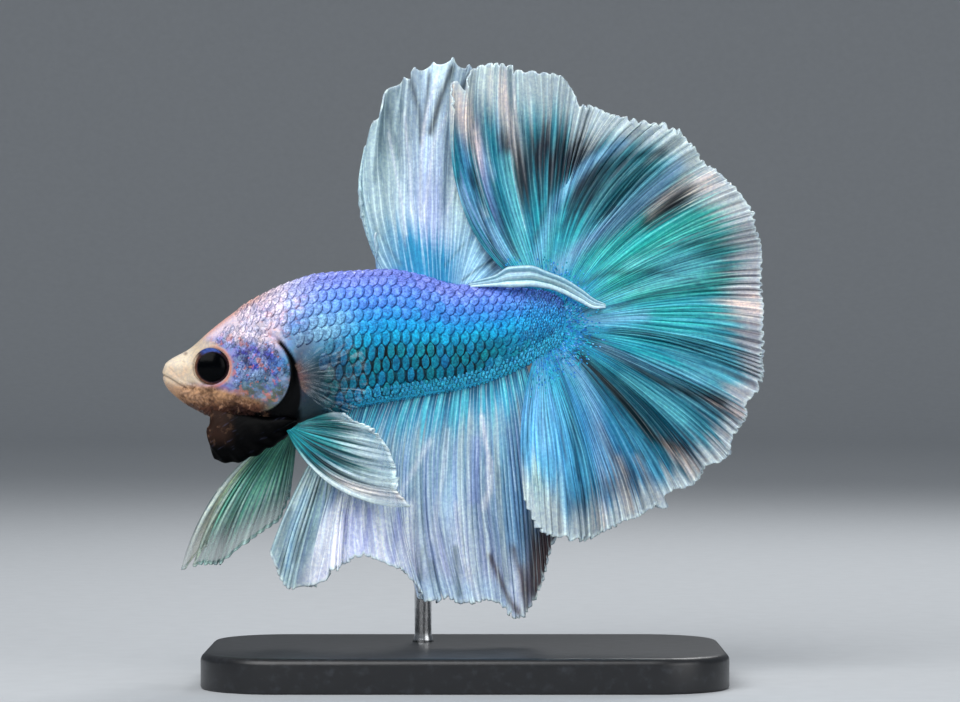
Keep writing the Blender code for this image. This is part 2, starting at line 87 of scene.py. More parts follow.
# Specks of the skin: attribute that says where, the noise's detail and roughness, and rows of its scale
# per metre, where the specks start and are full, their share and their colour
MOTTLES = ("mottle", 2.5, 0.62, (
    (520, 0.5, 0.62, 0.55, "#4E48BE"),
    (560, 0.54, 0.64, 0.4, "#B8BCEE"),
    (1250, 0.5, 0.6, 0.6, "#6C90C4"),
    (900, 0.58, 0.66, 0.5, "#2E4A72"),
    (700, 0.5, 0.42, 0.5, "#8C9EB8"),
    (1150, 0.48, 0.4, 0.55, "#4A4648"),
    (780, 0.565, 0.64, 0.62, "#D0765E"),
    (1400, 0.59, 0.65, 0.6, "#CC6A50"),
))
# Painted shade and light of the jaw's wrinkled skin, laid out as the specks are: dark brown patches are
# painted shade in its wrinkles, peach ones painted highlights on its lumps
JAW_LUMP_SHADING = ("jaw", 3.0, 0.65, (
    (520, 0.47, 0.63, 0.7, "#3E2620"),
    (980, 0.53, 0.65, 0.45, "#C89A7A"),
    (1600, 0.52, 0.62, 0.5, "#2E1C18"),
))
NOSTRILS = ((-32.6, 36.9, 0.16), (-32.3, 37.9, 0.12))
GILL_CENTRE = (-23.9, 35.6)
GILL_RADII = (3.8, 4.4)
GILL_LIFT = 0.42

# Tail fin: angles are degrees above the horizontal, rearward, about the fan's centre
FAN_CENTRE = (9.6, 41.2)
FAN_TOP_ANGLE = 116.0
FAN_LOW_ANGLE = -99.5
FAN_RIM = (              # angle, distance from the centre
    (-99.5, 20.8), (-93.6, 24.1), (-83.6, 25), (-71.7, 24.8), (-63.9, 24.3), (-56.8, 24.4),
    (-55.9, 23.8), (-48.8, 25), (-41.9, 24.5), (-38.2, 25.7), (-31.6, 25.5), (-24.1, 25.5),
    (-21.8, 25), (-17.7, 25.6), (-4, 25), (9.2, 25.5), (21.7, 26.7), (34.5, 27), (45.9, 26.7),
    (60.3, 27.1), (71, 25.6), (79.3, 25.9), (82.4, 26.1), (84, 27.3), (88.6, 29.1), (96.3, 29.6),
    (103.1, 30.7), (106.5, 30.7), (108.6, 29.4), (109.8, 28.7), (110.8, 29.8), (113, 29),
    (116, 27.8),
)
FAN_FOLDS = (            # angle, depth at the rim (+ is away to the right side), half width
    (83, 1.1, 6), (68, -1, 6), (50, 1, 7), (28, -0.8, 8), (6, -0.7, 5),
    (-12, 0.8, 6), (-24, -1.1, 5), (-33, 1.2, 4.5), (-41, -1, 5), (-50, 1.2, 5),
    (-63, -0.9, 6), (-76, 0.9, 6),
)
FAN_CURL = 3.8
FAN_BOWS = (             # angle, sideways bulge of its ray as a share of its length
    (-99.5, -0.05), (-90, 0), (-75, 0.05), (-50, 0.06), (-20, 0.04), (0, 0.05), (15, 0.06), (40, 0.07),
    (55, 0.1), (68, 0.11), (80, 0.03), (92, 0), (100, 0.06), (108, 0.12), (116, 0.14),
)
FAN_PLEATS = 120
TAIL_LINES = 1.7         # painted rays for each pleat
FAN_STEPS, FAN_ROWS = 8, 48     # points across a pleat and along a ray
ROOT_LINES, ROOT_STEPS = 119, 22        # lines of fine scales across the fan's root, scales in a line
RAY_WAVES = (            # noises of a membrane: knots for each ray, knots along it for each mm, detail
    (0.6, 0.1, 1), (0.9, 0.16, 1), (0.16, 0.06, 1), (2.4, 0.45, 2),
)
TAIL_WAVES = ((24, 2.3, 0.08, 0.8), (56, 1.1, 0.05, 0.7))   # knots, depth, start, full
TAIL_SWAY = ((34, 1.5, 0.1, 0.6), (60, 1.0, 0.5, 1.0))
FIN_SWAY = ((0.2, 1.1, 0.1, 0.6), (0.38, 0.8, 0.5, 1.0))      # knots as a share of the ridges
DORSAL_WAVES = ((9, 1.6, 0.1, 0.8), (22, 0.7, 0.3, 0.95))
ANAL_WAVES = ((15, 1.9, 0.1, 0.85), (40, 0.8, 0.3, 0.95))
PELVIC_WAVES = ((5, 1.0, 0.1, 0.8), (13, 0.45, 0.1, 0.9))
PECTORAL_WAVES = ((6, 0.3, 0.2, 0.9),)

ANAL_DASHES = 21
ANAL_ROLL = (2.0, 0.62, 0.55, 1.25)      # key ray, half width in keys, depth, shift

# Other fins: rays from front to rear, each (foot x, foot z, tip x, tip z, tip y, bow)
DORSAL_RAYS = (
    (-10.2, 47.3, -10.6, 50, 0, 0),
    (-9.2, 47.3, -11.6, 61.2, 0.2, 0.11),
    (-8, 47.3, -9.8, 65.4, -0.7, 0.08),
    (-6.8, 47, -8.1, 69.2, 0.8, 0.04),
    (-5.2, 46.8, -6.2, 70.2, -0.4, 0.03),
    (-3.9, 46.4, -3.8, 71.2, 1, 0.02),
    (-2.9, 46.1, -1.4, 71.6, 0.2, 0.02),
    (-2, 45.9, 1, 70.6, 1.4, 0.02),
    (-1.2, 45.7, 3.6, 67.5, 1, 0.02),
    (-0.6, 45.6, 6, 60, 1.6, 0.04),
    (0, 45.6, 6, 52.5, 1.5, 0.05),
    (0.8, 45.6, 5.4, 49.4, 1.3, 0.04),
    (1.8, 45.5, 5.4, 47.2, 1.2, 0),
)
DORSAL_LOCK = (          # x, lower edge, upper edge
    (0.4, 45.6, 46.1), (3.4, 45.7, 46.9), (5.2, 45.6, 47.9), (7.4, 45.7, 48), (9.4, 45.5, 47.3),
    (11.2, 44.9, 46.6), (13.2, 43.9, 45.4), (15, 43.1, 44.1), (16.2, 43.2, 43.6),
)
ANAL_RAYS = (
    (-14.6, 31.2, -22.4, 15, -0.2, 0.03),
    (-13.8, 31.5, -21, 11, 0.9, 0.04),
    (-13, 31.7, -18.2, 10.2, 1.1, 0.03),
    (-12, 31.9, -15.8, 12.4, -0.9, 0.03),
    (-10.4, 32.3, -13.6, 13.6, 0.5, 0.05),
    (-8.6, 32.6, -10.6, 14.3, -0.7, 0.075),
    (-6.8, 32.9, -7, 11.8, 0.7, 0.085),
    (-5.2, 33.1, -5.2, 9.6, -0.5, 0.08),
    (-3, 33.5, -2.6, 9.6, 0.7, 0.065),
    (-0.8, 33.9, 0.6, 9, -0.5, 0.045),
    (1.4, 34.5, 2.6, 9, 0.8, 0.02),
    (3.4, 35.2, 6.2, 6.9, 0.4, 0),
    (5, 35.8, 8, 9.2, 1.3, -0.02),
    (6.2, 36.4, 9.6, 14.2, 1, -0.02),
    (7, 36.8, 11, 19, 1.2, -0.02),
)
LEFT_PELVIC_RAYS = (
    (-20.6, 29, -6.1, 20.2, -5.2, 0.15),
    (-20.4, 29.1, -8, 22.6, -5.6, 0.11),
    (-20.1, 29.2, -7.9, 24.6, -5, 0.07),
    (-19.8, 29.4, -9.2, 27.2, -5.4, 0),
    (-19.5, 29.6, -10.6, 29.4, -5, -0.05),
    (-19.2, 29.8, -14, 30.6, -4.6, -0.08),
)
RIGHT_PELVIC_RAYS = (
    (-20.9, 29.1, -33.3, 12.7, 5, 0.1),
    (-20.7, 29.1, -31.5, 13, 5.3, 0.08),
    (-20.4, 29.1, -29.2, 13.2, 5, 0.05),
    (-20.1, 29.2, -25.4, 16.2, 5.4, 0.02),
    (-19.8, 29.3, -22, 18.6, 5, 0),
    (-19.5, 29.4, -20.6, 22.6, 4.8, 0),
)
RIGHT_PELVIC_NOTCH = (0.42, 0.16, 3.4)      # key ray, half width, depth
PECTORAL_RAYS = (
    (-19.6, 36.6, -14.6, 40.4, 5.6, 0.04),
    (-19.3, 35.9, -12.4, 39.2, 6, 0.02),
    (-19.1, 35.3, -11.2, 36.8, 6.2, 0),
    (-19, 34.8, -11.2, 34.2, 6.2, 0),
    (-18.9, 34.3, -12.4, 32, 6.1, -0.02),
    (-18.8, 33.8, -14.6, 31, 5.9, -0.04),
)

# Marks of the tail fin
TAIL_MARGIN = (          # angle, width of the pale margin
    (-100, 5), (-90, 5.4), (-84, 3.6), (-70, 3.2), (-60, 3.2), (-45, 2.4), (-20, 2.6), (0, 3),
    (20, 3.8), (45, 4.4), (60, 4), (75, 4.4), (85, 5.6), (100, 6.2), (116, 5.4),
)
# Its soft spots: angle, half width, distance, depth, amount
TAIL_PLUM = (
    (91, 9, 20, 3.4, 1.15), (80, 6, 20.6, 3.6, 1.725), (101, 4.5, 19, 4, 1.265),
    (73, 5, 17.6, 3.2, 0.92), (112, 2.5, 20.7, 3.5, 0.46), (46, 7, 20.3, 2.8, 1.2075),
    (30, 6, 21.2, 2, 0.5175), (63, 6, 20, 2.8, 0.4025), (-67, 7, 20.4, 2.6, 0.6325),
    (-80, 5, 21.4, 2.2, 0.46), (18, 6, 22, 1.8, 0.4025),
)
TAIL_PALE = (
    (-93, 5, 18, 3, 0.4), (83, 6, 7.5, 2.4, 0.4), (12, 8, 7.5, 2, 0.35), (24, 7, 16.5, 3.8, 0.7),
)
TAIL_PEACH = (
    (101, 3, 25.4, 3.4, 0.55), (112, 2.6, 25.4, 4, 0.75), (42, 3.2, 23.8, 1.4, 0.5),
    (-69, 4, 20.5, 2, 0.1), (5.5, 2.8, 23.2, 2.4, 1), (-24, 2, 24.2, 1.6, 0.5),
    (-45, 2.2, 22.8, 1.8, 0.45), (-74, 2, 22.8, 1.8, 0.3),
)
# Soft strokes of colour along folds and rays, laid over a fin in turn: colour, half width, amount, and then x
# and z of each point of the stroke's line. Dark strokes along fold valleys are painted shade; pale ones along
# ridges are partly the rays' colour and partly painted highlight.
STROKE_COLOURS = {
    "deep": "#083C4A", "ink": "#0A1418", "plum": "#1C2634", "umber": "#4A3A3C", "pale": "#86B4DC",
    "sky": "#7FBCE4", "aqua": "#6CD0DC", "tan": "#B4A8A2", "white": "#E4E8F4", "violet": "#8C98DC",
    "grey": "#4F6874",
}
# On the tail, the deep, ink and umber strokes follow fold valleys and are painted shade, the ink ones painted
# shadow under an overlapping fold; the plum ones are the fin's dark plum laid along valleys, partly painted
# shade; the pale, sky and aqua ones along ridges are partly painted highlight
TAIL_STROKES = (
    ("deep", 0.35, 0.55, 4.6, 48.5, 1.7, 51, -0.1, 54.3, -0.9, 58),
    ("deep", 0.3, 0.6, 0.8, 58, 2.8, 55.7, 5.2, 51, 6.1, 49),
    ("deep", 0.3, 0.6, 2.8, 58.5, 4, 54.8, 6.3, 48.3),
    ("plum", 0.45, 0.5, 4, 63.1, 4.9, 61, 5.6, 58.9, 6, 57.1),
    ("plum", 0.3, 0.55, 9.1, 64.3, 9, 60.8, 8.6, 55.7),
    ("plum", 0.3, 0.55, 13.3, 62.6, 11.4, 60.3, 10, 57.1, 8.2, 51),
    ("plum", 0.5, 0.55, 17.5, 62.2, 14.7, 59.9, 13.1, 57.1, 11.9, 54.8),
    ("deep", 0.4, 0.5, 20.2, 63.6, 16.8, 60.8, 14.2, 56.8, 11, 52.2),
    ("ink", 0.25, 0.7, 17.5, 55, 16.1, 53.8),
    ("deep", 0.55, 0.65, 13.3, 54.5, 15.6, 58.5, 19.1, 60.8, 23, 61.2),
    ("deep", 0.35, 0.6, 15.1, 53.1, 17.9, 56.1, 20.9, 58.5, 22.6, 59.6),
    ("deep", 0.35, 0.55, 12.4, 49.6, 15.6, 52, 18.9, 55),
    ("ink", 0.9, 0.7, 21.2, 53.1, 23.7, 55.4, 26, 57.1),
    ("deep", 0.3, 0.4, 14.7, 46.9, 17.9, 48.3, 22.6, 50.3, 28.6, 51),
    ("deep", 0.3, 0.6, 13.3, 45.9, 16.8, 47.3, 21.9, 47.6, 27.2, 46.2),
    ("ink", 0.22, 0.6, 18.4, 45.8, 20.4, 45.2),
    ("deep", 0.28, 0.6, 13.3, 43.2, 17.9, 43.3, 22.6, 45.1, 27.7, 45.2),
    ("ink", 0.25, 0.6, 11, 42.6, 15.7, 42.8),
    ("deep", 0.35, 0.5, 16.8, 40.6, 22.6, 40.1, 28.6, 38.7, 32.8, 37.6),
    ("ink", 0.52, 0.8, 14, 39.9, 18.4, 37.4, 22, 34.9, 26, 33.4, 29.8, 32.2),
    ("ink", 0.6, 0.95, 13.1, 38, 17, 33.9, 19.9, 30.5, 22, 28.1, 24.9, 26.7),
    ("deep", 0.35, 0.55, 12.1, 38, 15.1, 34.3, 17, 31.3, 19.5, 27.1, 20.9, 25.8),
    ("umber", 0.45, 0.55, 15.5, 29.5, 17, 25.8, 18.9, 23.9),
    ("deep", 0.3, 0.45, 10.5, 38, 11.7, 33.6, 12.8, 26.7, 13.1, 23.4),
    ("deep", 0.25, 0.4, 7.7, 35.7, 7.5, 30.2, 6.8, 25.5),
    ("pale", 0.95, 0.7, 10, 46.9, 13.3, 50.3, 17.5, 53.4, 20.2, 55.7, 23, 58, 24.7, 59.6),
    ("sky", 0.65, 0.6, 8.4, 48.7, 9.6, 52.9, 10.7, 55.7, 13.1, 58.7, 14.7, 60.3, 18.2, 62.3),
    ("aqua", 0.75, 0.6, 7, 47.8, 6.3, 52, 5.4, 56.8, 4.9, 60.3),
    ("pale", 0.45, 0.5, 3.1, 58.5, 1.7, 61.7, 1, 63.8),
    ("pale", 0.75, 0.7, -0.6, 56.8, 0.5, 54.8, 2.8, 52.2, 4.7, 49.4),
    ("aqua", 0.45, 0.55, 9.2, 48.5, 10, 51.5, 10.5, 53.6),
    ("tan", 0.55, 0.5, 21.4, 54.1, 23.3, 56.1, 26, 58.7),
    ("pale", 0.75, 0.55, 11, 42, 15.7, 41.6, 20.7, 42.1),
    ("aqua", 0.55, 0.45, 15.6, 44.1, 21.4, 45.9, 27.2, 47.1),
    ("aqua", 0.7, 0.4, 19, 48.2, 25, 48.9, 29, 48.4),
    ("pale", 0.85, 0.55, 10.4, 38.6, 13.1, 35.5, 14.9, 31.6, 15.7, 26.8, 16.2, 24.1),
    ("sky", 0.6, 0.4, 8.6, 37.1, 9, 32, 8.8, 26.8),
    ("sky", 0.45, 0.4, 15.6, 38.7, 21.4, 36.4, 27.2, 34.6),
    ("aqua", 0.5, 0.4, 18.2, 35, 21.9, 32.7, 25.3, 30.2),
    ("tan", 0.65, 0.55, 17.8, 25.5, 19.1, 20),
    ("white", 0.18, 0.35, -0.4, 66.1, 0.9, 60, 2.3, 53.9),
    ("violet", 0.3, 0.4, 1.4, 62.6, 2.6, 57, 4, 52.2),
    ("violet", 0.22, 0.5, -0.6, 59, 0.8, 54.4, 3, 50.4),
    ("deep", 0.26, 0.85, 0.5, 59.2, 1.9, 54, 3.4, 49.9, 6.3, 45.2),
    ("white", 0.18, 0.45, 4.6, 67.9, 5.4, 59.2, 6.9, 52.2),
    ("tan", 0.45, 0.45, 19.9, 25.8, 22.6, 21.2),
)
# On the dorsal, the ink and grey strokes near the rim are painted shade in its folds, and the umber one a
# painted shadow along its rear edge where the tail fin lies over it; the white ones are its rays
DORSAL_STROKES = (
    ("grey", 0.3, 0.5, -7.8, 68.8, -7.2, 65.7, -6.6, 62.6),
    ("ink", 0.3, 0.6, -6.4, 69.8, -5.4, 66.1, -5.2, 62.3),
    ("ink", 0.3, 0.7, -4.2, 70.4, -4.5, 67, -4.9, 63.6),
    ("ink", 0.45, 0.85, -1.6, 71.1, -2.8, 67.7, -4, 63.6),
    ("ink", 0.4, 0.75, 0.6, 70.5, -0.3, 68.9, -0.8, 66.8),
    ("grey", 0.3, 0.45, -9, 66.4, -8.3, 63.6, -7.8, 60.8),
    ("grey", 0.35, 0.45, -9.3, 66.7, -10.2, 62.3, -10.5, 58),
    ("umber", 0.4, 0.45, -0.8, 56.8, 0.9, 52.7, 2.1, 50.1, 3.3, 48),
    ("deep", 0.18, 0.6, -0.3, 46.4, 1.6, 47.9, 3.3, 49),
    ("deep", 0.15, 0.45, -2.5, 48, -0.1, 50.7),
    ("white", 0.22, 0.65, -3.2, 70.5, -4.8, 64.4, -5.2, 59.7, -5.2, 53.5),
    ("white", 0.2, 0.55, -2, 65.9, -3.7, 62.3, -4.8, 53.4),
    ("white", 0.18, 0.45, -9, 63.6, -7.6, 56.8, -6.8, 51.6),
    ("white", 0.18, 0.45, -1, 58.2, -2.1, 54.4),
    ("white", 0.18, 0.45, -7.1, 65.9, -6.4, 59.2, -6.2, 54),
    ("grey", 0.22, 0.4, -10.4, 52.4, -8.5, 49.6, -7.6, 48.3),
)
ANAL_STROKES = (
    ("grey", 0.3, 0.5, -14.7, 21.2, -15.5, 18.6, -16.4, 15.7, -17.8, 12.8, -19.8, 10.6),
    ("white", 0.24, 0.85, -14, 21.2, -14.8, 18.6, -15.7, 15.7, -17.1, 12.8, -19.2, 10.4),
    # Violet strokes between the white ones on the near layer: painted shade between its folds; the white ones
    # are its pale colour and partly painted highlight on the ridges
    ("violet", 0.18, 0.5, -14, 19.7, -13.9, 15.7),
    ("violet", 0.18, 0.5, -12.5, 20.3, -12.2, 15.1),
    ("violet", 0.18, 0.5, -11.1, 20.3, -10.6, 14.9),
    ("violet", 0.18, 0.5, -9.6, 20.3, -9, 15.1),
    ("violet", 0.2, 0.55, -7.8, 19.5, -7, 13.7),
    ("white", 0.3, 0.55, -13.2, 20.3, -13, 14.5),
    ("white", 0.3, 0.55, -11.8, 20.3, -11.4, 14.4),
    ("white", 0.3, 0.55, -10.3, 20.3, -9.8, 14.4),
    ("white", 0.3, 0.45, -8.5, 20.3, -7.8, 13.9),
    ("white", 0.24, 0.9, 1.9, 30.7, 2.3, 28.1, 2.8, 25.3),
    ("white", 0.4, 0.9, 2.8, 25.3, 2.8, 22, 2.1, 20),
    ("white", 0.8, 0.8, -13.9, 21.2, -15.5, 18.8, -16.5, 16, -18, 13, -18.9, 10.4),
    ("white", 0.6, 0.75, -6.4, 20.3, -6.8, 17.6, -7.2, 13, -6.7, 11.8),
    ("white", 0.4, 0.55, -9.1, 20, -9.6, 16.8, -9.5, 14.4),
    ("white", 0.45, 0.5, -1, 20.3, -0.6, 14.9, 1.7, 9.3),
    ("white", 0.35, 0.45, -4.1, 27.8, -6, 24.4, -8.4, 20.3),
    ("white", 0.3, 0.4, -2, 29, -2.7, 23.2, -3.9, 16.2),
    # More painted shade between the near layer's folds
    ("violet", 0.35, 0.4, -13.2, 19, -13.1, 14.4),
    ("violet", 0.35, 0.6, -11, 19.7, -11.8, 14.8),
    ("violet", 0.3, 0.5, -8.1, 18.6, -8.3, 13.9),
    ("grey", 0.28, 0.6, -4.9, 15.3, -5.3, 11.6),
    ("grey", 0.28, 0.6, -3.9, 13.7, -3, 10),
    ("grey", 0.32, 0.7, -1.2, 15.3, -0.6, 10),
    ("umber", 0.35, 0.85, 2.8, 14.4, 4.8, 9.9, 6.6, 7.2),
    ("umber", 0.45, 0.8, 5.6, 15.3, 6.6, 11.6, 7.1, 8.1),
    ("umber", 1.1, 0.65, 10, 15.7, 8.4, 12.8, 7.5, 10.4),
    ("violet", 0.7, 0.45, 1.3, 27.8, 0.9, 20.9),
    ("grey", 0.45, 0.55, -20.2, 19.7, -21.4, 15.7, -21.1, 12.8),
    ("grey", 0.4, 0.55, -17.1, 22.3, -19, 18.6, -19.8, 13.9),
    ("sky", 0.5, 0.35, -18.5, 21.8, -20.1, 17.4, -20.6, 13.2),
    ("grey", 0.45, 0.4, 4, 24.4, 4.4, 17.4, 5.2, 11.6),
    ("sky", 0.6, 0.35, 4.7, 27.8, 5.7, 20.9, 6.6, 13.9),
)

# Scales of the body: share of the pitch, half width, and rows as shares of the way round from the back
SCALE_ROWS = {
    "upper": (1.0, 0.9216, (0.0, 0.035, 0.07, 0.106, 0.142, 0.179, 0.217)),
    "lower": (1.02, 1.088, (0.258, 0.3, 0.342, 0.384, 0.426, 0.466, 0.5)),
}
SCALE_STEPS = ((-27, -19, 0, 7, 11), (0.62, 0.9, 1.0, 0.72, 0.45))     # x, share of the full pitch
SCALE_WIDTHS = ((-8, 0, 6, 11), (1, 0.9, 0.64, 0.46))                  # x, share of the full width
SCALES_START, SCALES_END = -27.5, 9.6
PLATE_GRID = (5, 7)      # points of a scale, along and across
# Smaller scales: half length, half width, lift of the free edge, darkness of the gaps, share of them with a
# painted glint, a pale blue highlight
FIN_BASE_SCALE = (0.38, 0.29, 0.16, 0.6, 0.6)
TAIL_ROOT_SCALE = (0.31, 0.22, 0.13, 0.6, 0.3)
CHEEK_SCALE = (0.6, 0.48, 0.022, 0.0, 0.0)
# Fine scales on the tail fin's root
BEAD_SIDES = 10
ROOT_HUES = ("#2C86D8", "#3CAAD8", "#25B4C4", "#3C82DC", "#7CC0EC", "#14608C")
ROOT_HUE_SHARES = (0.2, 0.3, 0.26, 0.06, 0.1, 0.08)

# Dark gill membrane under the throat
BEARD_FRONT, BEARD_REAR = -29.9, -19.4
BEARD_LINE = (
    (-29.9, 26.6), (-29.3, 25.7), (-28.5, 25.35), (-26.7, 25.25), (-25.6, 25.7), (-24.4, 26.1),
    (-23.3, 26.8), (-22.1, 27.4), (-20.1, 29), (-19.4, 29.4),
)

# Points of the grids, along and round or across
SKIN_RING, FLOOR_RING = 240, 96
EYE_GRID, BEARD_GRID, LOCK_GRID, ROD_GRID = (60, 96), (120, 96), (120, 29), (60, 40)

# Stand and view
BASE_SIZE = (60.0, 36.0, 4.0)
BASE_CORNER = 9.0
BASE_BEVEL, FOOT_BEVEL = 0.8, 0.3        # round the top, round the underside
ROD_RADIUS = 1.0
ROD_FOOT = (-5.0, 6.2)
ROD_TOP = (-5.0, 1.3, 35.5)
FRAME_WIDTH = 111.4      # width seen at the middle of the fish
VIEW_CENTRE = (1.7, 0.0, 38.2)
LENS, SENSOR_WIDTH = 135.0, 36.0
SKY_LIGHT = 0.45
FLOOR_REACH, FLOOR_SWEEP = 1100, 500    # how far it is flat, radius of the sweep up to its wall
WALL_HEIGHTS = (900, 1300)
LIGHTS = (               # name, place and size in metres, power
    ("key", (-0.16, -0.34, 0.36), 0.42, 2.6),
    ("fill", (0.68, -0.6, 0.24), 0.6, 2.8),
    ("rim", (0.1, 0.3, 0.34), 0.2, 0.8),
)


# ---------------------------------------------------------------- small maths
def curve(table, x):
    """Cubic through the table's rows with harmonic-mean slopes, so it never overshoots them."""
    xs, ys = np.array(table, float).T
    steps = np.diff(xs)
    rises = np.diff(ys) / steps
    slopes = np.zeros(len(xs))
    slopes[0], slopes[-1] = rises[0], rises[-1]
    same = rises[:-1] * rises[1:] > 0
    slopes[1:-1][same] = 2 * (rises[:-1] * rises[1:])[same] / (rises[:-1] + rises[1:])[same]
    x = np.clip(x, xs[0], xs[-1])
    i = np.clip(np.searchsorted(xs, x) - 1, 0, len(xs) - 2)
    t = (x - xs[i]) / steps[i]
    start = (1 + 2 * t) * (1 - t) ** 2 * ys[i] + t * (1 - t) ** 2 * steps[i] * slopes[i]
    end = t * t * (3 - 2 * t) * ys[i + 1] + t * t * (t - 1) * steps[i] * slopes[i + 1]
    return start + end


def ramp(x, low, high):
    """0 below low, 1 above high, and a smooth S between; low may be the larger."""
    t = np.clip((x - low) / (high - low), 0, 1)
    return t * t * (3 - 2 * t)


def bell(x, centre, half_width):
    """exp of minus the squared distance from the centre, in half widths."""
    return np.exp(-(((x - centre) / half_width) ** 2))


def streaks(u, count, seed):
    """Smooth random wave of u (0 to 1) with count knots of random height joined by S curves."""
    knots = np.random.default_rng(seed).random(count + 2)
    place = np.clip(u, 0, 1) * count
    i = place.astype(int)
    t = place - i
    t = t * t * (3 - 2 * t)
    return knots[i] * (1 - t) + knots[i + 1] * t


def line_distance(x, z, line):
    """Shortest distance in side view from points to a line of straight pieces."""
    best = np.full(np.shape(x), 1e9)
    for (ax, az), (bx, bz) in zip(line, line[1:]):
        dx, dz = bx - ax, bz - az
        t = np.clip(((x - ax) * dx + (z - az) * dz) / (dx * dx + dz * dz), 0, 1)
        best = np.minimum(best, np.hypot(x - ax - t * dx, z - az - t * dz))
    return best


def spread(a, b):
    """Two grids: the first values down the rows, and the second across them."""
    return np.meshgrid(a, b, indexing="ij")


def full_turn(count):
    """Angles of a full turn in equal steps."""
    return np.arange(count) * TURN / count


def linear(colour):
    """Linear red, green and blue of a colour: of sRGB hex, of one of the user's by its name, or the
    numbers as they are."""
    if not isinstance(colour, str):
        return np.asarray(colour)
    if not colour.startswith("#"):
        return np.array(getattr(bpy.context.scene.betta_colours, colour))
    c = np.array([int(colour[i:i + 2], 16) for i in (1, 3, 5)]) / 255
    return np.where(c <= 0.04045, c / 12.92, ((c + 0.055) / 1.055) ** 2.4)


def mix(a, b, share):
    """Blend of two colours, or grids of colours, by a grid of shares."""
    share = np.clip(np.asarray(share, float), 0, 1)[..., None]
    return linear(a) * (1 - share) + linear(b) * share


def layered(colour, *layers):
    """The colour with layers laid over it in turn, each a colour and its share."""
    for layer, share in layers:
        colour = mix(colour, layer, share)
    return colour


def unit(vectors):
    """Vectors brought to length 1."""
    return vectors / np.maximum(np.linalg.norm(vectors, axis=-1, keepdims=True), 1e-9)


def outline(x):
    """Heights of the belly and the back at x."""
    return curve(BELLY_LINE, x), curve(BACK_LINE, x)


# ---------------------------------------------------------------- user values
def colour_prop(name, code, words):
    """A colour that a user may change, given as sRGB hex."""
    value = tuple(float(c) for c in linear(code))
    return bpy.props.FloatVectorProperty(
        name=name, description=words, default=value, size=3, subtype="COLOR", min=0, max=1)


def length_prop(name, millimetres, words):
    """A length that a user may change."""
    return bpy.props.FloatProperty(
        name=name, description=words, default=millimetres * MM, unit="LENGTH", min=0, precision=5)


class BettaSizes(bpy.types.PropertyGroup):
    """Sizes of the details that the solids leave open."""

    scale_pitch: length_prop("Scale pitch", 1.14, "Distance from one scale to the next along the body")
    scale_lift: length_prop("Scale lift", 0.07, "How far a scale's free edge stands off the skin")
    membrane: length_prop("Membrane", 0.16, "Thickness of a fin's membrane")
    pleat_depth: length_prop("Pleat depth", 0.06, "Depth of the tail fin's pleats at the rim")
    skin_grain: length_prop("Skin grain", 0.25, "Size of the fine bumps on bare skin")


class BettaColours(bpy.types.PropertyGroup):
    """Colours of the fish."""

    cream: colour_prop("Snout", "#D2BEA6", "Snout and upper lip")
    umber: colour_prop("Mouth", "#43271F", "Line of the mouth")
    rose: colour_prop("Nape", "#E0DAF6", "Pinkish white nape")
    lilac: colour_prop("Cheek", "#7A72BE", "Lilac of the cheek")
    cover_blue: colour_prop("Gill cover", "#557CBA", "Rear of the gill cover")
    periwinkle: colour_prop("Back", "#6F8AE4", "Scales of the back")
    azure: colour_prop("Upper flank", "#2A8FDC", "Scales of the upper flank")
    cerulean: colour_prop("Middle flank", "#18ACDC", "Scales of the middle of the flank")
    teal: colour_prop("Lower flank", "#047A96", "Scales of the lower flank")
    turquoise: colour_prop("Fin roots", "#1F9CC8", "Scales at the roots of the fins")
    cobalt: colour_prop("Tail root", "#2A9AD8", "Scales of the tail root")
    slate: colour_prop("Chest", "#2F3E45", "Chest behind the gill cover")
    ink: colour_prop("Ink", "#05080D", "Gaps between scales, gill membrane and pupil")
    fin_azure: colour_prop("Fin azure", "#4293CC", "Azure of the fins")
    fin_plum: colour_prop("Fin plum", "#1E2833", "Dark streaks of the tail fin")
    fin_white: colour_prop("Fin white", "#C3D2D8", "Pale margins and rays")
    fin_lilac: colour_prop("Fin lilac", "#A6AEE4", "Lilac of the dorsal and anal fins")


def size_mm(key):
    """One of the user's sizes, in millimetres."""
    return getattr(bpy.context.scene.betta_sizes, key) / MM


# ---------------------------------------------------------------- meshes
def make_piece(name, points, faces, material, **layers):
    """Object from points in mm and arrays of face corners, one array for each number of corners. A
    layer goes onto the mesh by its name: a value or a colour for each point, or a map with a place for
    each point or each corner."""
    mesh = bpy.data.meshes.new(name)
    corners = np.concatenate([f.ravel() for f in faces]).astype(np.int32)
    counts = np.concatenate([np.full(len(f), f.shape[1]) for f in faces])
    starts = np.concatenate([[0], np.cumsum(counts)[:-1]]).astype(np.int32)
    mesh.vertices.add(len(points))
    mesh.vertices.foreach_set("co", (np.asarray(points) * MM).astype(np.float32).ravel())
    mesh.loops.add(len(corners))
    mesh.loops.foreach_set("vertex_index", corners)
    mesh.polygons.add(len(counts))
    mesh.polygons.foreach_set("loop_start", starts)
    mesh.update(calc_edges=True)
    for key, value in layers.items():
        value = np.asarray(value, np.float32)
        if value.size == len(points):
            mesh.attributes.new(key, "FLOAT", "POINT").data.foreach_set("value", value.ravel())
        elif value.shape[-1] == 3:
            value = np.column_stack([value.reshape(-1, 3), np.ones(len(points))])
            mesh.attributes.new(key, "FLOAT_COLOR", "POINT").data.foreach_set("color", value.ravel())
        else:
            value = value.reshape(-1, 2)
            value = value[corners] if len(value) == len(points) else value
            mesh.uv_layers.new(name=key).data.foreach_set("uv", value.ravel())
    mesh.validate()
    mesh.shade_smooth()
    mesh.materials.append(material)
    piece = bpy.data.objects.new(name, mesh)
    bpy.context.scene.collection.objects.link(piece)
    return piece


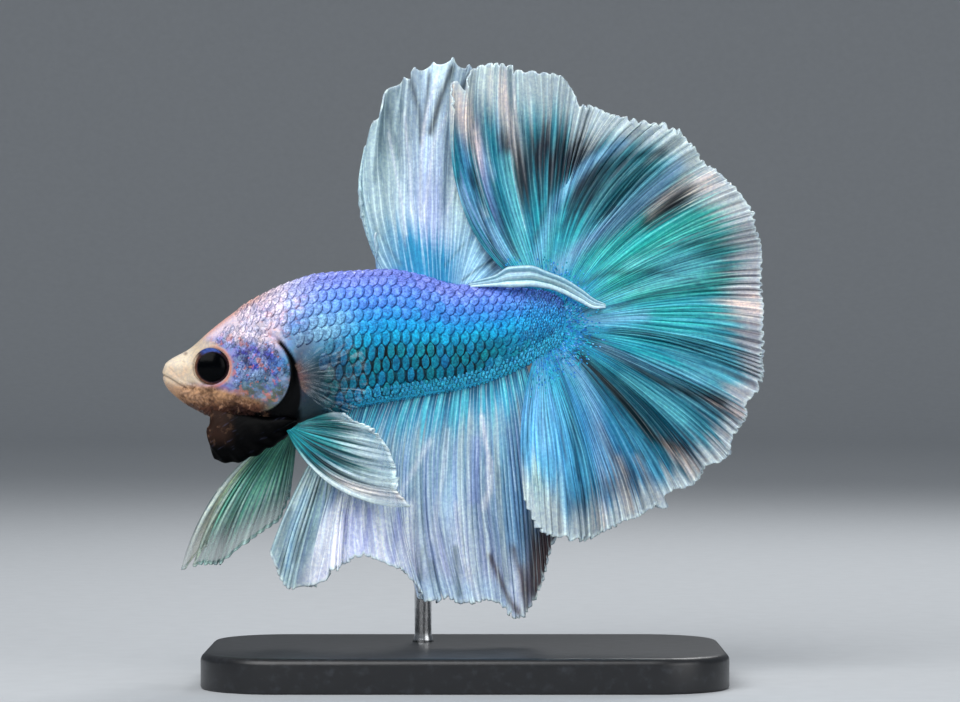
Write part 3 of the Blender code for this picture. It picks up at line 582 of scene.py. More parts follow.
def grid_faces(rows, cols, wrap=False, start=0, flip=False):
    """Quads of a grid whose points are numbered row by row; wrap joins the last column to the first."""
    i, j = spread(np.arange(rows - 1), np.arange(cols if wrap else cols - 1))
    k = (j + 1) % cols
    quads = np.stack([i * cols + j, (i + 1) * cols + j, (i + 1) * cols + k, i * cols + k], axis=-1)
    quads = quads.reshape(-1, 4) + start
    return quads[:, ::-1] if flip else quads


def normals_of(grid):
    """Unit normals of a grid of points: its row direction crossed with its column direction."""
    return unit(np.cross(np.gradient(grid, axis=0), np.gradient(grid, axis=1)))


def grid_border(rows, cols):
    """Numbers of a grid's points once round its border."""
    index = np.arange(rows * cols).reshape(rows, cols)
    return np.concatenate([index[:, 0], index[-1, 1:], index[-2::-1, -1], index[0, -2:0:-1]])


def sheet_piece(name, middle, thickness, material, **layers):
    """Closed sheet about a grid of middle points: two faces half a thickness out along the normals, and
    four edges. Its unwrap puts one face beside the other, and each edge on the border of the first."""
    rows, cols = middle.shape[:2]
    half = normals_of(middle) * (np.asarray(thickness) / 2)[..., None]
    points = np.concatenate([(middle + half).reshape(-1, 3), (middle - half).reshape(-1, 3)])
    size = rows * cols
    border = grid_border(rows, cols)
    following = np.roll(border, -1)
    edge = np.stack([following, border, border + size, following + size], axis=1)
    front, back = grid_faces(rows, cols), grid_faces(rows, cols, start=size, flip=True)
    u, v = spread(np.linspace(0.004, 0.496, rows), np.linspace(0.004, 0.996, cols))
    unwrap = np.stack([u, v], axis=-1).reshape(-1, 2)
    bake = np.concatenate([unwrap[front.ravel()], unwrap[back.ravel() - size] + (0.5, 0),
                           unwrap[edge.ravel() % size]])
    layers = {key: np.concatenate([value.reshape(size, -1)] * 2) for key, value in layers.items()}
    return make_piece(name, points, [np.concatenate([front, back, edge])], material, **layers, OFBake=bake)


def finish_piece(piece, slot, *nodes):
    """Hangs a piece on the one body and hides the solids that it stands for; the slot is not used."""
    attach(piece, "root")
    if nodes:
        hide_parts(*nodes)


# ---------------------------------------------------------------- materials
SMOOTH = {"interpolation_type": "SMOOTHSTEP"}
LAYER = {"data_type": "RGBA"}
TINT = {"data_type": "RGBA", "blend_type": "MULTIPLY", "in_0": 1.0}
TIMES = {"operation": "MULTIPLY"}
TIMES_PLUS = {"operation": "MULTIPLY_ADD"}


def fitted(tree, node, **settings):
    """The node with its settings made. One that names an input sets or links it, in_0, in_1 ... count
    the inputs, and any other is the node's own; a colour gets full alpha."""
    for key, value in settings.items():
        word = key.replace("_", " ")
        if key.startswith("in_"):
            socket = node.inputs[int(key[3:])]
        elif word in node.inputs:
            socket = node.inputs[word]
        else:
            setattr(node, key, value)
            continue
        if isinstance(value, bpy.types.NodeSocket):
            tree.links.new(value, socket)
        elif socket.type == "RGBA":
            socket.default_value = (*[float(c) for c in linear(value)], 1)
        else:
            socket.default_value = value
    return node


def add(tree, kind, out=0, **settings):
    """Adds a node with its settings and links, and gives one of its outputs."""
    return fitted(tree, tree.nodes.new("ShaderNode" + kind), **settings).outputs[out]


def new_material(name):
    """An empty node material, with its shader joined to the output."""
    material = bpy.data.materials.new(name)
    material.use_nodes = True
    tree = material.node_tree
    return material, tree, tree.nodes["Principled BSDF"]


def membrane_material(name, roughness, gap=0.8, ray_light=0.3, clear=False):
    """Fin membrane, thin skin over fine bony rays, varnished: a bright thin line on each ray of the map
    "Rays" and a fainter one on each branch, dark clear skin between them, and a grain of bright cells
    about 0.3 mm across. Where the attribute "clear" is 1 only faint streaks of it are left."""
    material, tree, shader = new_material(name)
    rays = add(tree, "UVMap", "UV", uv_map="Rays")
    paint = add(tree, "Attribute", "Color", attribute_name="paint")
    waves = []
    for across, along, detail in RAY_WAVES:
        scaled = add(tree, "VectorMath", **TIMES, in_0=rays, in_1=(across, along, 1))
        waves.append(add(tree, "TexNoise", Vector=scaled, Scale=1, Detail=detail, Roughness=0.6))
    wander, strength, broad, fine = waves
    number = add(tree, "SeparateXYZ", Vector=rays)
    number = add(tree, "Math", **TIMES_PLUS, in_0=wander, in_1=1.3, in_2=number)
    off = add(tree, "Math", operation="PINGPONG", in_0=number, in_1=0.5)
    branch = add(tree, "Math", operation="PINGPONG", in_0=number, in_1=0.25)
    calm = add(tree, "Attribute", "Fac", attribute_name="calm")
    stir = add(tree, "Math", **TIMES_PLUS, in_0=calm, in_1=-0.85, in_2=1)

    between, bare, on_ray, strong, on_branch, grainy, dull, dim, fair = (
        add(tree, "MapRange", Value=value, From_Min=low, From_Max=high, **SMOOTH)
        for value, low, high in (
            (off, 0.24, 0.46), (strength, 0.3, 0.62), (off, 0.17, 0.05), (strength, 0.66, 0.42),
            (branch, 0.08, 0.02), (fine, 0.46, 0.6), (broad, 0.46, 0.3), (fine, 0.46, 0.3),
            (broad, 0.54, 0.7)))
    valley, crest, twig, dull, dim = (
        add(tree, "Math", **TIMES, in_0=value, in_1=other)
        for value, other in ((between, bare), (on_ray, strong), (on_branch, grainy), (dull, gap * 0.45),
                             (dim, gap * 0.6)))
    valley = add(tree, "Math", **TIMES, in_0=valley, in_1=stir)
    dark = add(tree, "Mix", 2, **TINT, in_6=paint, in_7=(0.1, 0.24, 0.32))
    light = add(tree, "Mix", 2, **TINT, in_6=paint, in_7=(1.8, 1.85, 1.7))
    colour = paint
    for share, amount, layer in ((valley, gap, dark), (dull, stir, dark), (dim, stir, dark),
                                 (fair, 0.35, light), (twig, 0.45, light), (crest, 0.75, light),
                                 (crest, ray_light, "fin_white")):
        share = add(tree, "Math", **TIMES, in_0=share, in_1=amount)
        colour = add(tree, "Mix", 2, **LAYER, in_0=share, in_6=colour, in_7=layer)
    height = add(tree, "Math", **TIMES_PLUS, in_0=crest, in_1=0.6, in_2=fine)
    height = add(tree, "Math", **TIMES_PLUS, in_0=valley, in_1=-0.6, in_2=height)
    bump = add(tree, "Bump", Strength=0.6, Distance=0.06 * MM, Height=height)
    fitted(tree, shader, Base_Color=sparkling(tree, colour, 2600, 0.84, 1.12), Normal=bump,
           Roughness=roughness, Metallic=0.06, Specular_IOR_Level=0.3)
    if clear:
        share = add(tree, "Attribute", "Fac", attribute_name="clear")
        faint = add(tree, "MapRange", Value=fine, From_Min=0.45, From_Max=0.7, **SMOOTH)
        left = add(tree, "Math", **TIMES_PLUS, in_0=faint, in_1=-0.1, in_2=1)
        gone = add(tree, "Math", **TIMES, in_0=share, in_1=left)
        fitted(tree, shader, Alpha=add(tree, "Math", operation="SUBTRACT", in_0=1, in_1=gone))
    return material


def mottled(tree, colour, attribute, detail, roughness, rows):
    """The colour broken up where the attribute says, by a noise for each row of (scale, where its
    patches start, where they are full, share, colour)."""
    place = add(tree, "TexCoord", "Object")
    amount = add(tree, "Attribute", "Fac", attribute_name=attribute)
    for scale, low, high, share, code in rows:
        noise = add(tree, "TexNoise", Vector=place, Scale=scale, Detail=detail, Roughness=roughness)
        there = add(tree, "MapRange", Value=noise, From_Min=low, From_Max=high, **SMOOTH)
        there = add(tree, "Math", **TIMES, in_0=there, in_1=amount)
        there = add(tree, "Math", **TIMES, in_0=there, in_1=share)
        colour = add(tree, "Mix", 2, **LAYER, in_0=there, in_6=colour, in_7=code)
    return colour


def sparkling(tree, colour, scale, dark, light):
    """The colour made darker and lighter by fine grains, as light catches single cells."""
    place = add(tree, "TexCoord", "Object")
    noise = add(tree, "TexNoise", Vector=place, Scale=scale, Detail=2, Roughness=0.7)
    share = add(tree, "MapRange", Value=noise, From_Min=0.36, From_Max=0.64, **SMOOTH)
    low = add(tree, "Mix", 2, **TINT, in_6=colour, in_7=(dark, dark * 1.05, dark * 1.15))
    high = add(tree, "Mix", 2, **TINT, in_6=colour, in_7=(light, light, light * 0.96))
    return add(tree, "Mix", 2, **LAYER, in_0=share, in_6=low, in_7=high)


def skin_material():
    """Wet fish skin under varnish: the painted markings, broken by coral and violet specks where the skin is
    bare and by painted shade in the jaw's wrinkles with painted highlights on its lumps, with a grain of tiny
    bumps."""
    material, tree, shader = new_material("varnished_fish_skin")
    place = add(tree, "TexCoord", "Object")
    paint = add(tree, "Attribute", "Color", attribute_name="paint")
    # Specks first, then the jaw's painted shade and highlights
    colour = mottled(tree, mottled(tree, paint, *MOTTLES), *JAW_LUMP_SHADING)
    grain = add(tree, "TexNoise", Vector=place, Scale=1000.0 / size_mm("skin_grain"), Detail=3)
    bump = add(tree, "Bump", Strength=0.4, Distance=0.06 * MM, Height=grain)
    fitted(tree, shader, Base_Color=sparkling(tree, colour, 3200, 0.88, 1.08), Normal=bump,
           Roughness=0.42, Specular_IOR_Level=0.1)
    return material


def scale_material():
    """Fish scale, clear horn over silvery cells: a bright lens on each scale, edged with a paler line and
    parted from the next by dark pigment, with a painted shadow line under its lower free edge."""
    material, tree, shader = new_material("iridescent_fish_scale")
    own = add(tree, "UVMap", "UV", uv_map="Scale")
    place = add(tree, "TexCoord", "Object")
    paint = add(tree, "Attribute", "Color", attribute_name="paint")
    gap, chance, soft = (add(tree, "Attribute", "Fac", attribute_name=word)
                         for word in ("gap", "chance", "mottle"))
    wobble = add(tree, "TexNoise", Vector=place, Scale=1700, Detail=1)
    lens = add(tree, "VectorMath", **TIMES_PLUS, in_0=own, in_1=(2.3, 1.06, 0), in_2=(-0.8, 0, 0))
    far = add(tree, "VectorMath", "Value", operation="LENGTH", in_0=lens)
    far = add(tree, "Math", **TIMES_PLUS, in_0=wobble, in_1=0.6, in_2=far)

    # edge and below mark the lower free edge, where a painted shadow line goes
    edge = add(tree, "VectorMath", "Value", operation="LENGTH", in_0=own)
    below = add(tree, "SeparateXYZ", 1, Vector=own)
    rim, dark, edge, below = (
        add(tree, "MapRange", Value=value, From_Min=low, From_Max=high, **SMOOTH)
        for value, low, high in ((far, 0.9, 1.16), (far, 1.16, 1.36), (edge, 0.78, 0.9), (below, 0.25, -0.1)))
    rim, dark, line = (add(tree, "Math", **TIMES, in_0=value, in_1=other)
                       for value, other in ((rim, gap), (dark, gap), (edge, below)))
    firm = add(tree, "Math", **TIMES_PLUS, in_0=soft, in_1=-0.5, in_2=0.62)
    colour = sparkling(tree, mottled(tree, paint, *MOTTLES), 4200, 0.62, 1.35)
    colour = sparkling(tree, colour, 1500, 0.74, 1.22)
    # line is the painted shadow under the lower free edge
    for share, amount, tint in ((rim, 0.4, (1.5, 1.4, 1.25)), (chance, 0.4, (0.5, 0.68, 0.95)),
                                (line, firm, (0.1, 0.12, 0.34))):
        share = add(tree, "Math", **TIMES, in_0=share, in_1=amount)
        tinted = add(tree, "Mix", 2, **TINT, in_6=colour, in_7=tint)
        colour = add(tree, "Mix", 2, **LAYER, in_0=share, in_6=colour, in_7=tinted)
    colour = add(tree, "Mix", 2, **LAYER, in_0=dark, in_6=colour, in_7="ink")
    bump = add(tree, "Bump", Strength=0.3, Distance=0.05 * MM, Height=wobble)
    fitted(tree, shader, Base_Color=colour, Normal=bump, Roughness=0.42, Metallic=0.15,
           Specular_IOR_Level=0.22, Coat_Weight=0.05, Coat_Roughness=0.2)
    return material


# ---------------------------------------------------------------- body surface
def rounded(distance, length):
    """Quarter circle from 0 at no distance to 1 at length and beyond."""
    t = np.clip(distance / length, 0, 1)
    return np.sqrt(t * (2 - t))


def body_surface(x, a):
    """Point on the plain body: in each section a superellipse with its own reach up and down, whose
    parameter a turns from the right side over the back; both ends are rounded off."""
    low, top = outline(x)
    middle = low + WIDEST_AT * (top - low)
    ends = rounded(x - SNOUT_X, 0.36) * rounded(TAIL_ROOT_X - x, 0.9)
    cos, sin = np.cos(a), np.sin(a)
    y = (curve(HALF_WIDTH, x) - COAT_DEPTH) * np.sign(cos) * np.abs(cos) ** (2 / SECTION_POWER)
    reach = np.where(sin > 0, top - middle, middle - low) - COAT_DEPTH
    z = reach * np.sign(sin) * np.abs(sin) ** (2 / SECTION_POWER)
    return np.stack([x + 0 * a, y * ends, middle + z * ends], axis=-1)


def body_normal(x, a):
    """Outward unit normal of the plain body, from small steps along both parameters."""
    along = body_surface(x + 0.02, a) - body_surface(x - 0.02, a)
    around = body_surface(x, a + 0.004) - body_surface(x, a - 0.004)
    return unit(np.cross(around, along))


def gill_place(x, z):
    """Share of the gill cover's oval reached, and the angle about its centre in degrees."""
    dx, dz = (x - GILL_CENTRE[0]) / GILL_RADII[0], (z - GILL_CENTRE[1]) / GILL_RADII[1]
    return np.hypot(dx, dz), np.degrees(np.arctan2(dz, dx))


def relief(x, y, z):
    """Height of the head's features over the plain body: gill cover, eye rim, lips, mouth, nostrils,
    and small lumps of skin on the cheek and chin."""
    share, angle = gill_place(x, z)
    free = ramp(angle, 100, 70) * ramp(angle, -118, -72)
    height = GILL_LIFT * ramp(share, 0.35, 0.98) * ramp(share, 1.03, 1) * free
    height = height - 0.4 * free * ramp(share, 1, 1.03) * ramp(share, gill_band(angle) + 0.08, 1.04)
    eye = eye_distance(x, z)
    height = height + 0.12 * bell(eye, 2.45, 0.3) - 0.9 * ramp(eye, 2.18, 1.9)
    side = ramp(np.abs(y), 0, 0.25)
    mouth = line_distance(x, z, MOUTH_LINE)
    height = height - 0.13 * bell(mouth, 0, 0.1) + 0.05 * bell(mouth, 0.42, 0.26)
    height = height - 0.05 * bell(line_distance(x, z, LIP_CREASE), 0, 0.1) * side
    for nx, nz, radius in NOSTRILS:
        hole = np.hypot(x - nx, z - nz)
        height = height + side * 0.05 * bell(hole, radius * 1.6, radius * 0.6)
        height = height - side * 0.18 * bell(hole, 0, radius * 0.8)
    lumps = np.sin(x * 7.1 + 2.2 * np.sin(z * 3.1)) * np.sin(z * 6.3 + 2.0 * np.sin(x * 3.7))
    bare = ramp(x, -20.5, -22) * ramp(x, -34, -32) * ramp(z, 38.5, 36) * ramp(eye, 2.5, 3.1)
    height = height + (0.03 + 0.05 * jaw_share(x, z)) * lumps * bare * side
    return height - 0.07 * bell(share, 0.62, 0.06) * ramp(angle, 60, 110) * side


def skin_surface(x, a):
    """Point on the skin and its outward normal: the plain body, raised along its normal by the relief."""
    plain, normal = body_surface(x, a), body_normal(x, a)
    return plain + normal * relief(plain[..., 0], plain[..., 1], plain[..., 2])[..., None], normal


def eye_distance(x, z):
    """Distance in side view from the middle of the eye."""
    return np.hypot(x - EYE_CENTRE[0], z - EYE_CENTRE[2])


def gill_band(angle):
    """Outer edge of the dark strip behind the gill cover, as a share of its oval: wider towards the
    throat."""
    return 1.09 + 0.1 * ramp(angle, 45, 5) + 0.38 * ramp(angle, 5, -50)


def black_crescent(x, z):
    """Where the dark membrane shows: a strip behind the gill cover, and the throat below it."""
    share, angle = gill_place(x, z)
    band = gill_band(angle)
    ends = ramp(angle, 62, 48) * ramp(angle, -150, -120)
    strip = ramp(share, 0.985, 1.02) * ramp(share, band + 0.07, band) * ends
    throat = ramp(z, 32, 31.2) * ramp(x, -27.8, -26.6) * ramp(x, -18.7, -19.3) * ramp(share, 0.97, 1.02)
    return np.maximum(strip, throat)


def jaw_share(x, z):
    """Where the skin is brown and wrinkled: from under the eye down to the chin."""
    jaw = 34.6 - 0.08 * (x + 33) - 0.24 * np.maximum(x + 29, 0)
    return ramp(z, jaw + 0.5, jaw - 0.6) * ramp(x, -33.9, -32.4) * ramp(x, -22.2, -23.8)


def face_markings(x, z):
    """The colours of the head by place in side view, from the gill cover to the snout."""
    front, rear = ramp(x, -29.2, -31.4), ramp(x, -28, -25)
    brown = mix("#CC9C74", "#553529", ramp(z, 34, 31.4))
    slope = z + 0.15 * (x + 25)
    return layered(
        "lilac",
        ("cover_blue", ramp(x, -28, -24) * ramp(z, 40, 36.2)),
        ("#44707E", 0.9 * ramp(z, 37, 34.4) * ramp(x, -27.8, -25)),
        ("#66664A", 0.75 * ramp(z, 35.2, 33.2) * rear),
        ("#2C2680", 0.95 * bell(np.hypot((x + 24.6) / 1.5, z - 37.7), 0, 1.8)),
        ("#EAD4DE", ramp(slope, 38, 39.8)),
        ("#B08A6C", ramp(x, -31.5, -33) * ramp(z, 36, 34.8)),
        ("#E0A898", 0.9 * ramp(curve(BACK_LINE, x) - z, 1.1, 0.2) * ramp(x, -21.5, -25)),
        (brown, jaw_share(x, z)),
        ("cream", front * ramp(z, 33.3 + 0.15 * (x + 35), 34.8)),
        ("cream", 0.9 * ramp(np.hypot(x + 30.1, z - 36.2), 3.7, 2.9) * ramp(z, 34, 35)),
        ("#CC7460", 0.8 * bell(eye_distance(x, z), 2.32, 0.15) * ramp(x - EYE_CENTRE[0], -0.6, 1)),
        ("#C49A7C", 0.55 * front * bell(z, 33.9 - 0.3 * (x + 34), 0.7)),
        ("#D9B79A", 0.5 * bell(np.hypot(x + 33.2, z - 36.2), 0.9, 0.3)),
        ("#F4E4CC", 0.7 * ramp(x, -31, -32.4) * ramp(z, 36, 36.9)),
        ("umber", 0.4 * bell(line_distance(x, z, MOUTH_LINE), 0, 0.12)),
        # Painted shade in the pit of the upper nostril
        ("#6E5A55", 0.8 * bell(np.hypot(x + 32.4, z - 37.9), 0, 0.22)))


def markings(x, z):
    """The fish's colours over its whole body by place in side view: one rule for skin and scales."""
    low, top = outline(x)
    t = (z - low) / (top - low)
    wave = 0.02 * np.sin(x * 2.3) + 0.015 * np.sin(x * 5.1 + 1)
    shoulder = ramp(x, -12, -17.5)
    return layered(
        "teal",
        ("cerulean", ramp(t + wave, 0.36, 0.54)),
        ("azure", ramp(t + wave, 0.48, 0.74)),
        ("periwinkle", ramp(t + wave, 0.58, 0.98)),
        ("#A9A4EC", 0.5 * ramp(t, 0.84, 0.99) * ramp(x, 6, 0)),
        ("#44CCF4", ramp(z - low, 2.1, 1.4) * ramp(x, -15, -12)),
        ("cobalt", 0.7 * ramp(x, 3.5, 8.5) * bell(t, 0.55, 0.35)),
        ("#7FA6CC", 0.85 * shoulder * bell(t, 0.6, 0.18)),
        ("rose", ramp(x, -15.5, -22.5) * ramp(t, 0.64, 0.88)),
        ("slate", shoulder * ramp(t, 0.5, 0.3)),
        ("#182E38", 0.85 * bell(x, -16.6, 2.6) * bell(t, 0.34, 0.17)),
        ("#54484A", 0.65 * bell(x, -18.4, 1.2) * bell(t, 0.52, 0.09)),
        ("#94C8DC", 0.6 * bell(x, -15.5, 2.4) * bell(t + 0.5 * wave, 0.62, 0.08)),
        ("#44241C", 0.85 * bell(x, -19.3, 0.8) * bell(t, 0.38, 0.14)),
        (face_markings(x, z), ramp(x, -20, -22)),
        (linear("ink") * 0.3, black_crescent(x, z)))


def mottling(x, z):
    """How far coral, violet and pale specks break the skin: the cheek, gill cover and nape."""
    cheek = ramp(x, -16.5, -20.5) * ramp(x, -31.2, -28.6) * ramp(z, 31.6, 33)
    shoulder = 1 - 0.9 * ramp(x, -20.2, -19.4) * ramp(z, 41, 39)
    throat = 1 - 0.25 * ramp(z, 35.6, 34)
    brow = 1 - 0.6 * ramp(z + 0.15 * (x + 25), 38.4, 40)
    eye = ramp(eye_distance(x, z), 2.4, 2.8)
    ridge = ramp(curve(BACK_LINE, x) - z, 0.1, 2.4)
    return cheek * shoulder * throat * eye * (1 - jaw_share(x, z)) * brow * ridge * (1 - black_crescent(x, z))


def loft_mesh(grid, flip):
    """Points and faces of a closed surface through the rings that are a grid's rows, each end drawn to
    its middle point. Unflipped, it faces the way of the row direction crossed with the ring's."""
    rows, around = grid.shape[:2]
    points = np.concatenate([grid.reshape(-1, 3), grid[[0, -1]].mean(axis=1)])
    j = np.arange(around)
    k, last = (j + 1) % around, (rows - 1) * around
    first_tip, last_tip = np.full(around, len(points) - 2), np.full(around, len(points) - 1)
    caps = np.concatenate([np.stack([first_tip, j, k], axis=1),
                           np.stack([last_tip, last + k, last + j], axis=1)])
    quads = grid_faces(rows, around, wrap=True)
    return points, [quads[:, ::-1], caps[:, ::-1]] if flip else [quads, caps]


def scale_plates(x, a, pitch, height, lift):
    """Points of many scales, each a grid and a sunken rim of points below its outline.

    A scale covers u from -1, its root towards the head, to 1, its free edge, and v from -1 to 1 across.
    Its outline is an oval, its points are laid on the skin about (x, a), and it rises from just under
    the skin at the root to the lift at the free edge, a little domed across."""
    rows, cols = PLATE_GRID
    u, v = spread(np.linspace(-1, 1, rows), np.linspace(-1, 1, cols))
    u, v = u.ravel(), v.ravel()
    own_u, own_v = u * np.sqrt(1 - 0.5 * v * v), v * np.sqrt(1 - 0.5 * u * u)
    border = grid_border(rows, cols)
    sunk = rows * cols + np.arange(len(border))
    own_u, own_v = np.concatenate([own_u, own_u[border]]), np.concatenate([own_v, own_v[border]])
    rise = -0.03 + (lift + 0.03) * ramp(own_u, -0.5, 0.9) + 0.05 * (1 - own_v ** 2) * ramp(own_u, -1, 0)
    rise[sunk] = -0.1
    arc = np.linalg.norm(body_surface(x, a + 0.01) - body_surface(x, a - 0.01), axis=-1) / 0.02
    up = np.where(np.cos(a) > 0, 1, -1)
    xs = x[:, None] + own_u * (pitch * 0.83)[:, None]
    angles = a[:, None] + own_v * (up * height / arc)[:, None]
    spot, normal = skin_surface(np.clip(xs, SNOUT_X + 0.3, TAIL_ROOT_X - 0.1), angles)
    points = spot + normal * rise[None, :, None]
    skirt = np.stack([np.roll(border, -1), border, sunk, np.roll(sunk, -1)], axis=1)
    quads, base = np.concatenate([grid_faces(rows, cols), skirt]), sunk[None, ::-1]
    shift = (np.arange(len(x)) * len(own_u))[:, None, None]
    quads, base = quads + shift, base + shift
    for faces in (quads, base):
        faces[up > 0] = faces[up > 0][..., ::-1]
    own = np.broadcast_to(np.stack([own_u, own_v], axis=-1), (len(x), len(own_u), 2))
    return points, quads.reshape(-1, 4), base.reshape(-1, len(sunk)), own


def staggered(rng, shape, x, jitter):
    """Places of scales in rows: x starts at the first number and steps by the second, every other row
    by half a step more, each moved by the jitter; the rows' numbers come second."""
    i, r = spread(*map(np.arange, shape))
    return x[0] + x[1] * i + x[1] / 2 * (r % 2) + rng.normal(0, jitter, i.shape), r


def coat_piece(name, slot, x, a, size, seed):
    """A coat of scales at the given roots, coloured by the body's markings at each one. The size is the half
    length and width of a scale, the lift of its free edge, how dark the gap round it is, and what share of
    the scales get a painted glint, a pale blue highlight."""
    pitch, height, lift, gap, shine = size
    pitch, height, gap = (np.broadcast_to(value, x.shape) for value in (pitch, height, gap))
    points, quads, base, own = scale_plates(x, a, pitch, height, lift)
    rng = np.random.default_rng(seed)
    middle = PLATE_GRID[0] * PLATE_GRID[1] // 2
    seat_x, seat_z = points[:, middle, 0], points[:, middle, 2]
    colour = markings(seat_x + rng.normal(0, 0.3, len(x)), seat_z + rng.normal(0, 0.35, len(x)))
    chance, pale, hue = rng.random(len(x)), rng.random(len(x)), rng.random(len(x))
    flank = ramp(seat_z, 40.5, 38) * ramp(seat_x, -18, -14)
    # Painted glints: a pale blue highlight on the share of scales that shine gives
    colour = layered(colour, (markings(seat_x, seat_z), ramp(seat_x, -17, -21)),
                     ("#5CBCE8", 0.6 * (pale < shine)))
    colour = layered(colour[:, None], (markings(points[..., 0], points[..., 2]), 0.55),
                     ("#0A847C", 0.34 * (flank * ramp(hue, 0.5, 0.95))[:, None]),
                     ("#2470C8", 0.24 * (flank * ramp(hue, 0.4, 0.05))[:, None]))
    patch = np.stack([(x - SNOUT_X) / (TAIL_ROOT_X - SNOUT_X), (a % TURN) / TURN], axis=-1)
    bake = (0.02 + 0.96 * patch)[:, None] + 0.0015 * own
    gap, chance, soft = (value[:, None] * np.ones((1, own.shape[1]))
                         for value in (gap, chance, mottling(seat_x, seat_z)))
    piece = make_piece(
        name, points.reshape(-1, 3), [quads, base], bpy.data.materials["iridescent_fish_scale"],
        gap=gap, chance=chance, mottle=soft, paint=colour, Scale=own, OFBake=bake)
    finish_piece(piece, slot)


def even_angles(rows, x):
    """Parameters of rows an equal arc apart round the body at x, the first on the ridge of the back."""
    a = np.linspace(0, TURN, 1441)
    spot = body_surface(np.full(len(a), x), a)
    arc = np.concatenate([[0], np.cumsum(np.linalg.norm(np.diff(spot, axis=0), axis=1))])
    start = np.interp(math.pi / 2, a, arc)
    return np.interp((start + np.arange(rows) * arc[-1] / rows) % arc[-1], arc, a)


def side_angle(x, z, side):
    """Parameter of the body's surface at x and height z, on the right side for 1 and the left for -1."""
    low, top = outline(x)
    middle = low + WIDEST_AT * (top - low)
    reach = np.where(z > middle, top - middle, middle - low) - COAT_DEPTH
    share = np.clip(np.abs(z - middle) / reach, 0, 1) ** (SECTION_POWER / 2)
    a = np.arcsin(share * np.sign(z - middle))
    return (a if side > 0 else math.pi - a) % TURN


class BETTA_OT_skin(bpy.types.Operator):
    """One skin over head, body and tail root, with the head's features raised from it"""

    bl_idname = "betta.skin"
    bl_label = "Skin"

    def execute(self, context):
        x = np.concatenate([
            SNOUT_X + 0.5 * (1 - np.cos(np.linspace(0.04, 1, 9) * math.pi / 2)),
            np.arange(SNOUT_X + 0.6, -19, 0.085),
            np.linspace(-19, TAIL_ROOT_X - 0.95, 105),
            TAIL_ROOT_X - 0.9 + 0.9 * np.sin(np.linspace(0, 0.97, 9) * math.pi / 2),
        ])
        xs, angles = spread(x, full_turn(SKIN_RING))
        points, faces = loft_mesh(skin_surface(xs, angles)[0], flip=True)
        x, _, z = points.T
        piece = make_piece("body_skin", points, faces, skin_material(), mottle=mottling(x, z),
                           jaw=jaw_share(x, z), paint=markings(x, z))
        finish_piece(piece, "skin_body", "head", "lower_jaw", "trunk_front", "trunk_middle",
                     "trunk_rear", "tail_root", "gill_cover_left", "gill_cover_right")
        return {"FINISHED"}


def row_scales(name, half_width, share_of_pitch, rows):
    """The two coats of a band of scales, in rows at the given shares of the way round the body: each
    scale's root and size, less where the head, the gill cover or a fin's base is bare."""
    pitch, rng = size_mm("scale_pitch"), np.random.default_rng(7)
    share = np.unique(np.round(np.concatenate([rows, -np.array(rows)[::-1]]) % 1, 5))
    angles = np.interp(share, np.arange(720) / 720, np.unwrap(even_angles(720, -8)))
    stops = [SCALES_START]
    while stops[-1] < TAIL_ROOT_X - 0.6:
        stops.append(stops[-1] + share_of_pitch * pitch * float(np.interp(stops[-1], *SCALE_STEPS)))
    stops = np.array(stops)
    steps = np.gradient(stops)
    i, r = spread(np.arange(len(stops)), np.arange(len(share)))
    rank = np.where(share[r] > 0.5, len(share) - r, r)
    x = stops[i] + 0.5 * steps[i] * (rank % 2) + rng.normal(0, 0.03, i.shape)
    a, reach = angles[r], steps[i]
    spot = body_surface(x, a)
    low, top = outline(x)
    t = (spot[..., 2] - low) / (top - low)
    cover, angle = gill_place(x, spot[..., 2])
    kept = (x < SCALES_END) & (cover > gill_band(angle) + 0.22)
    kept &= (x > -21.5 - 5.0 * ramp(t, 0.62, 0.9)) & ((x > -16.6) | (t > 0.5))
    if name == "lower":
        kept &= (spot[..., 2] - low > 1.5) | (x < -13.5)
    gap = ramp(t, 0.56, 0.42) * ramp(x, -17, -13.5) * ramp(x, 5, 0)
    gap = gap * (0.65 + 0.35 * rng.random(x.shape))
    wide = half_width * np.interp(x, *SCALE_WIDTHS)
    for word, side in (("left", spot[..., 1] < -0.001), ("right", spot[..., 1] >= -0.001)):
        use = kept & side
        size = reach[use], wide[use], size_mm("scale_lift"), gap[use], 0.0
        coat_piece(f"{name}_scales_{word}", "skin_body", x[use], a[use], size, 11)


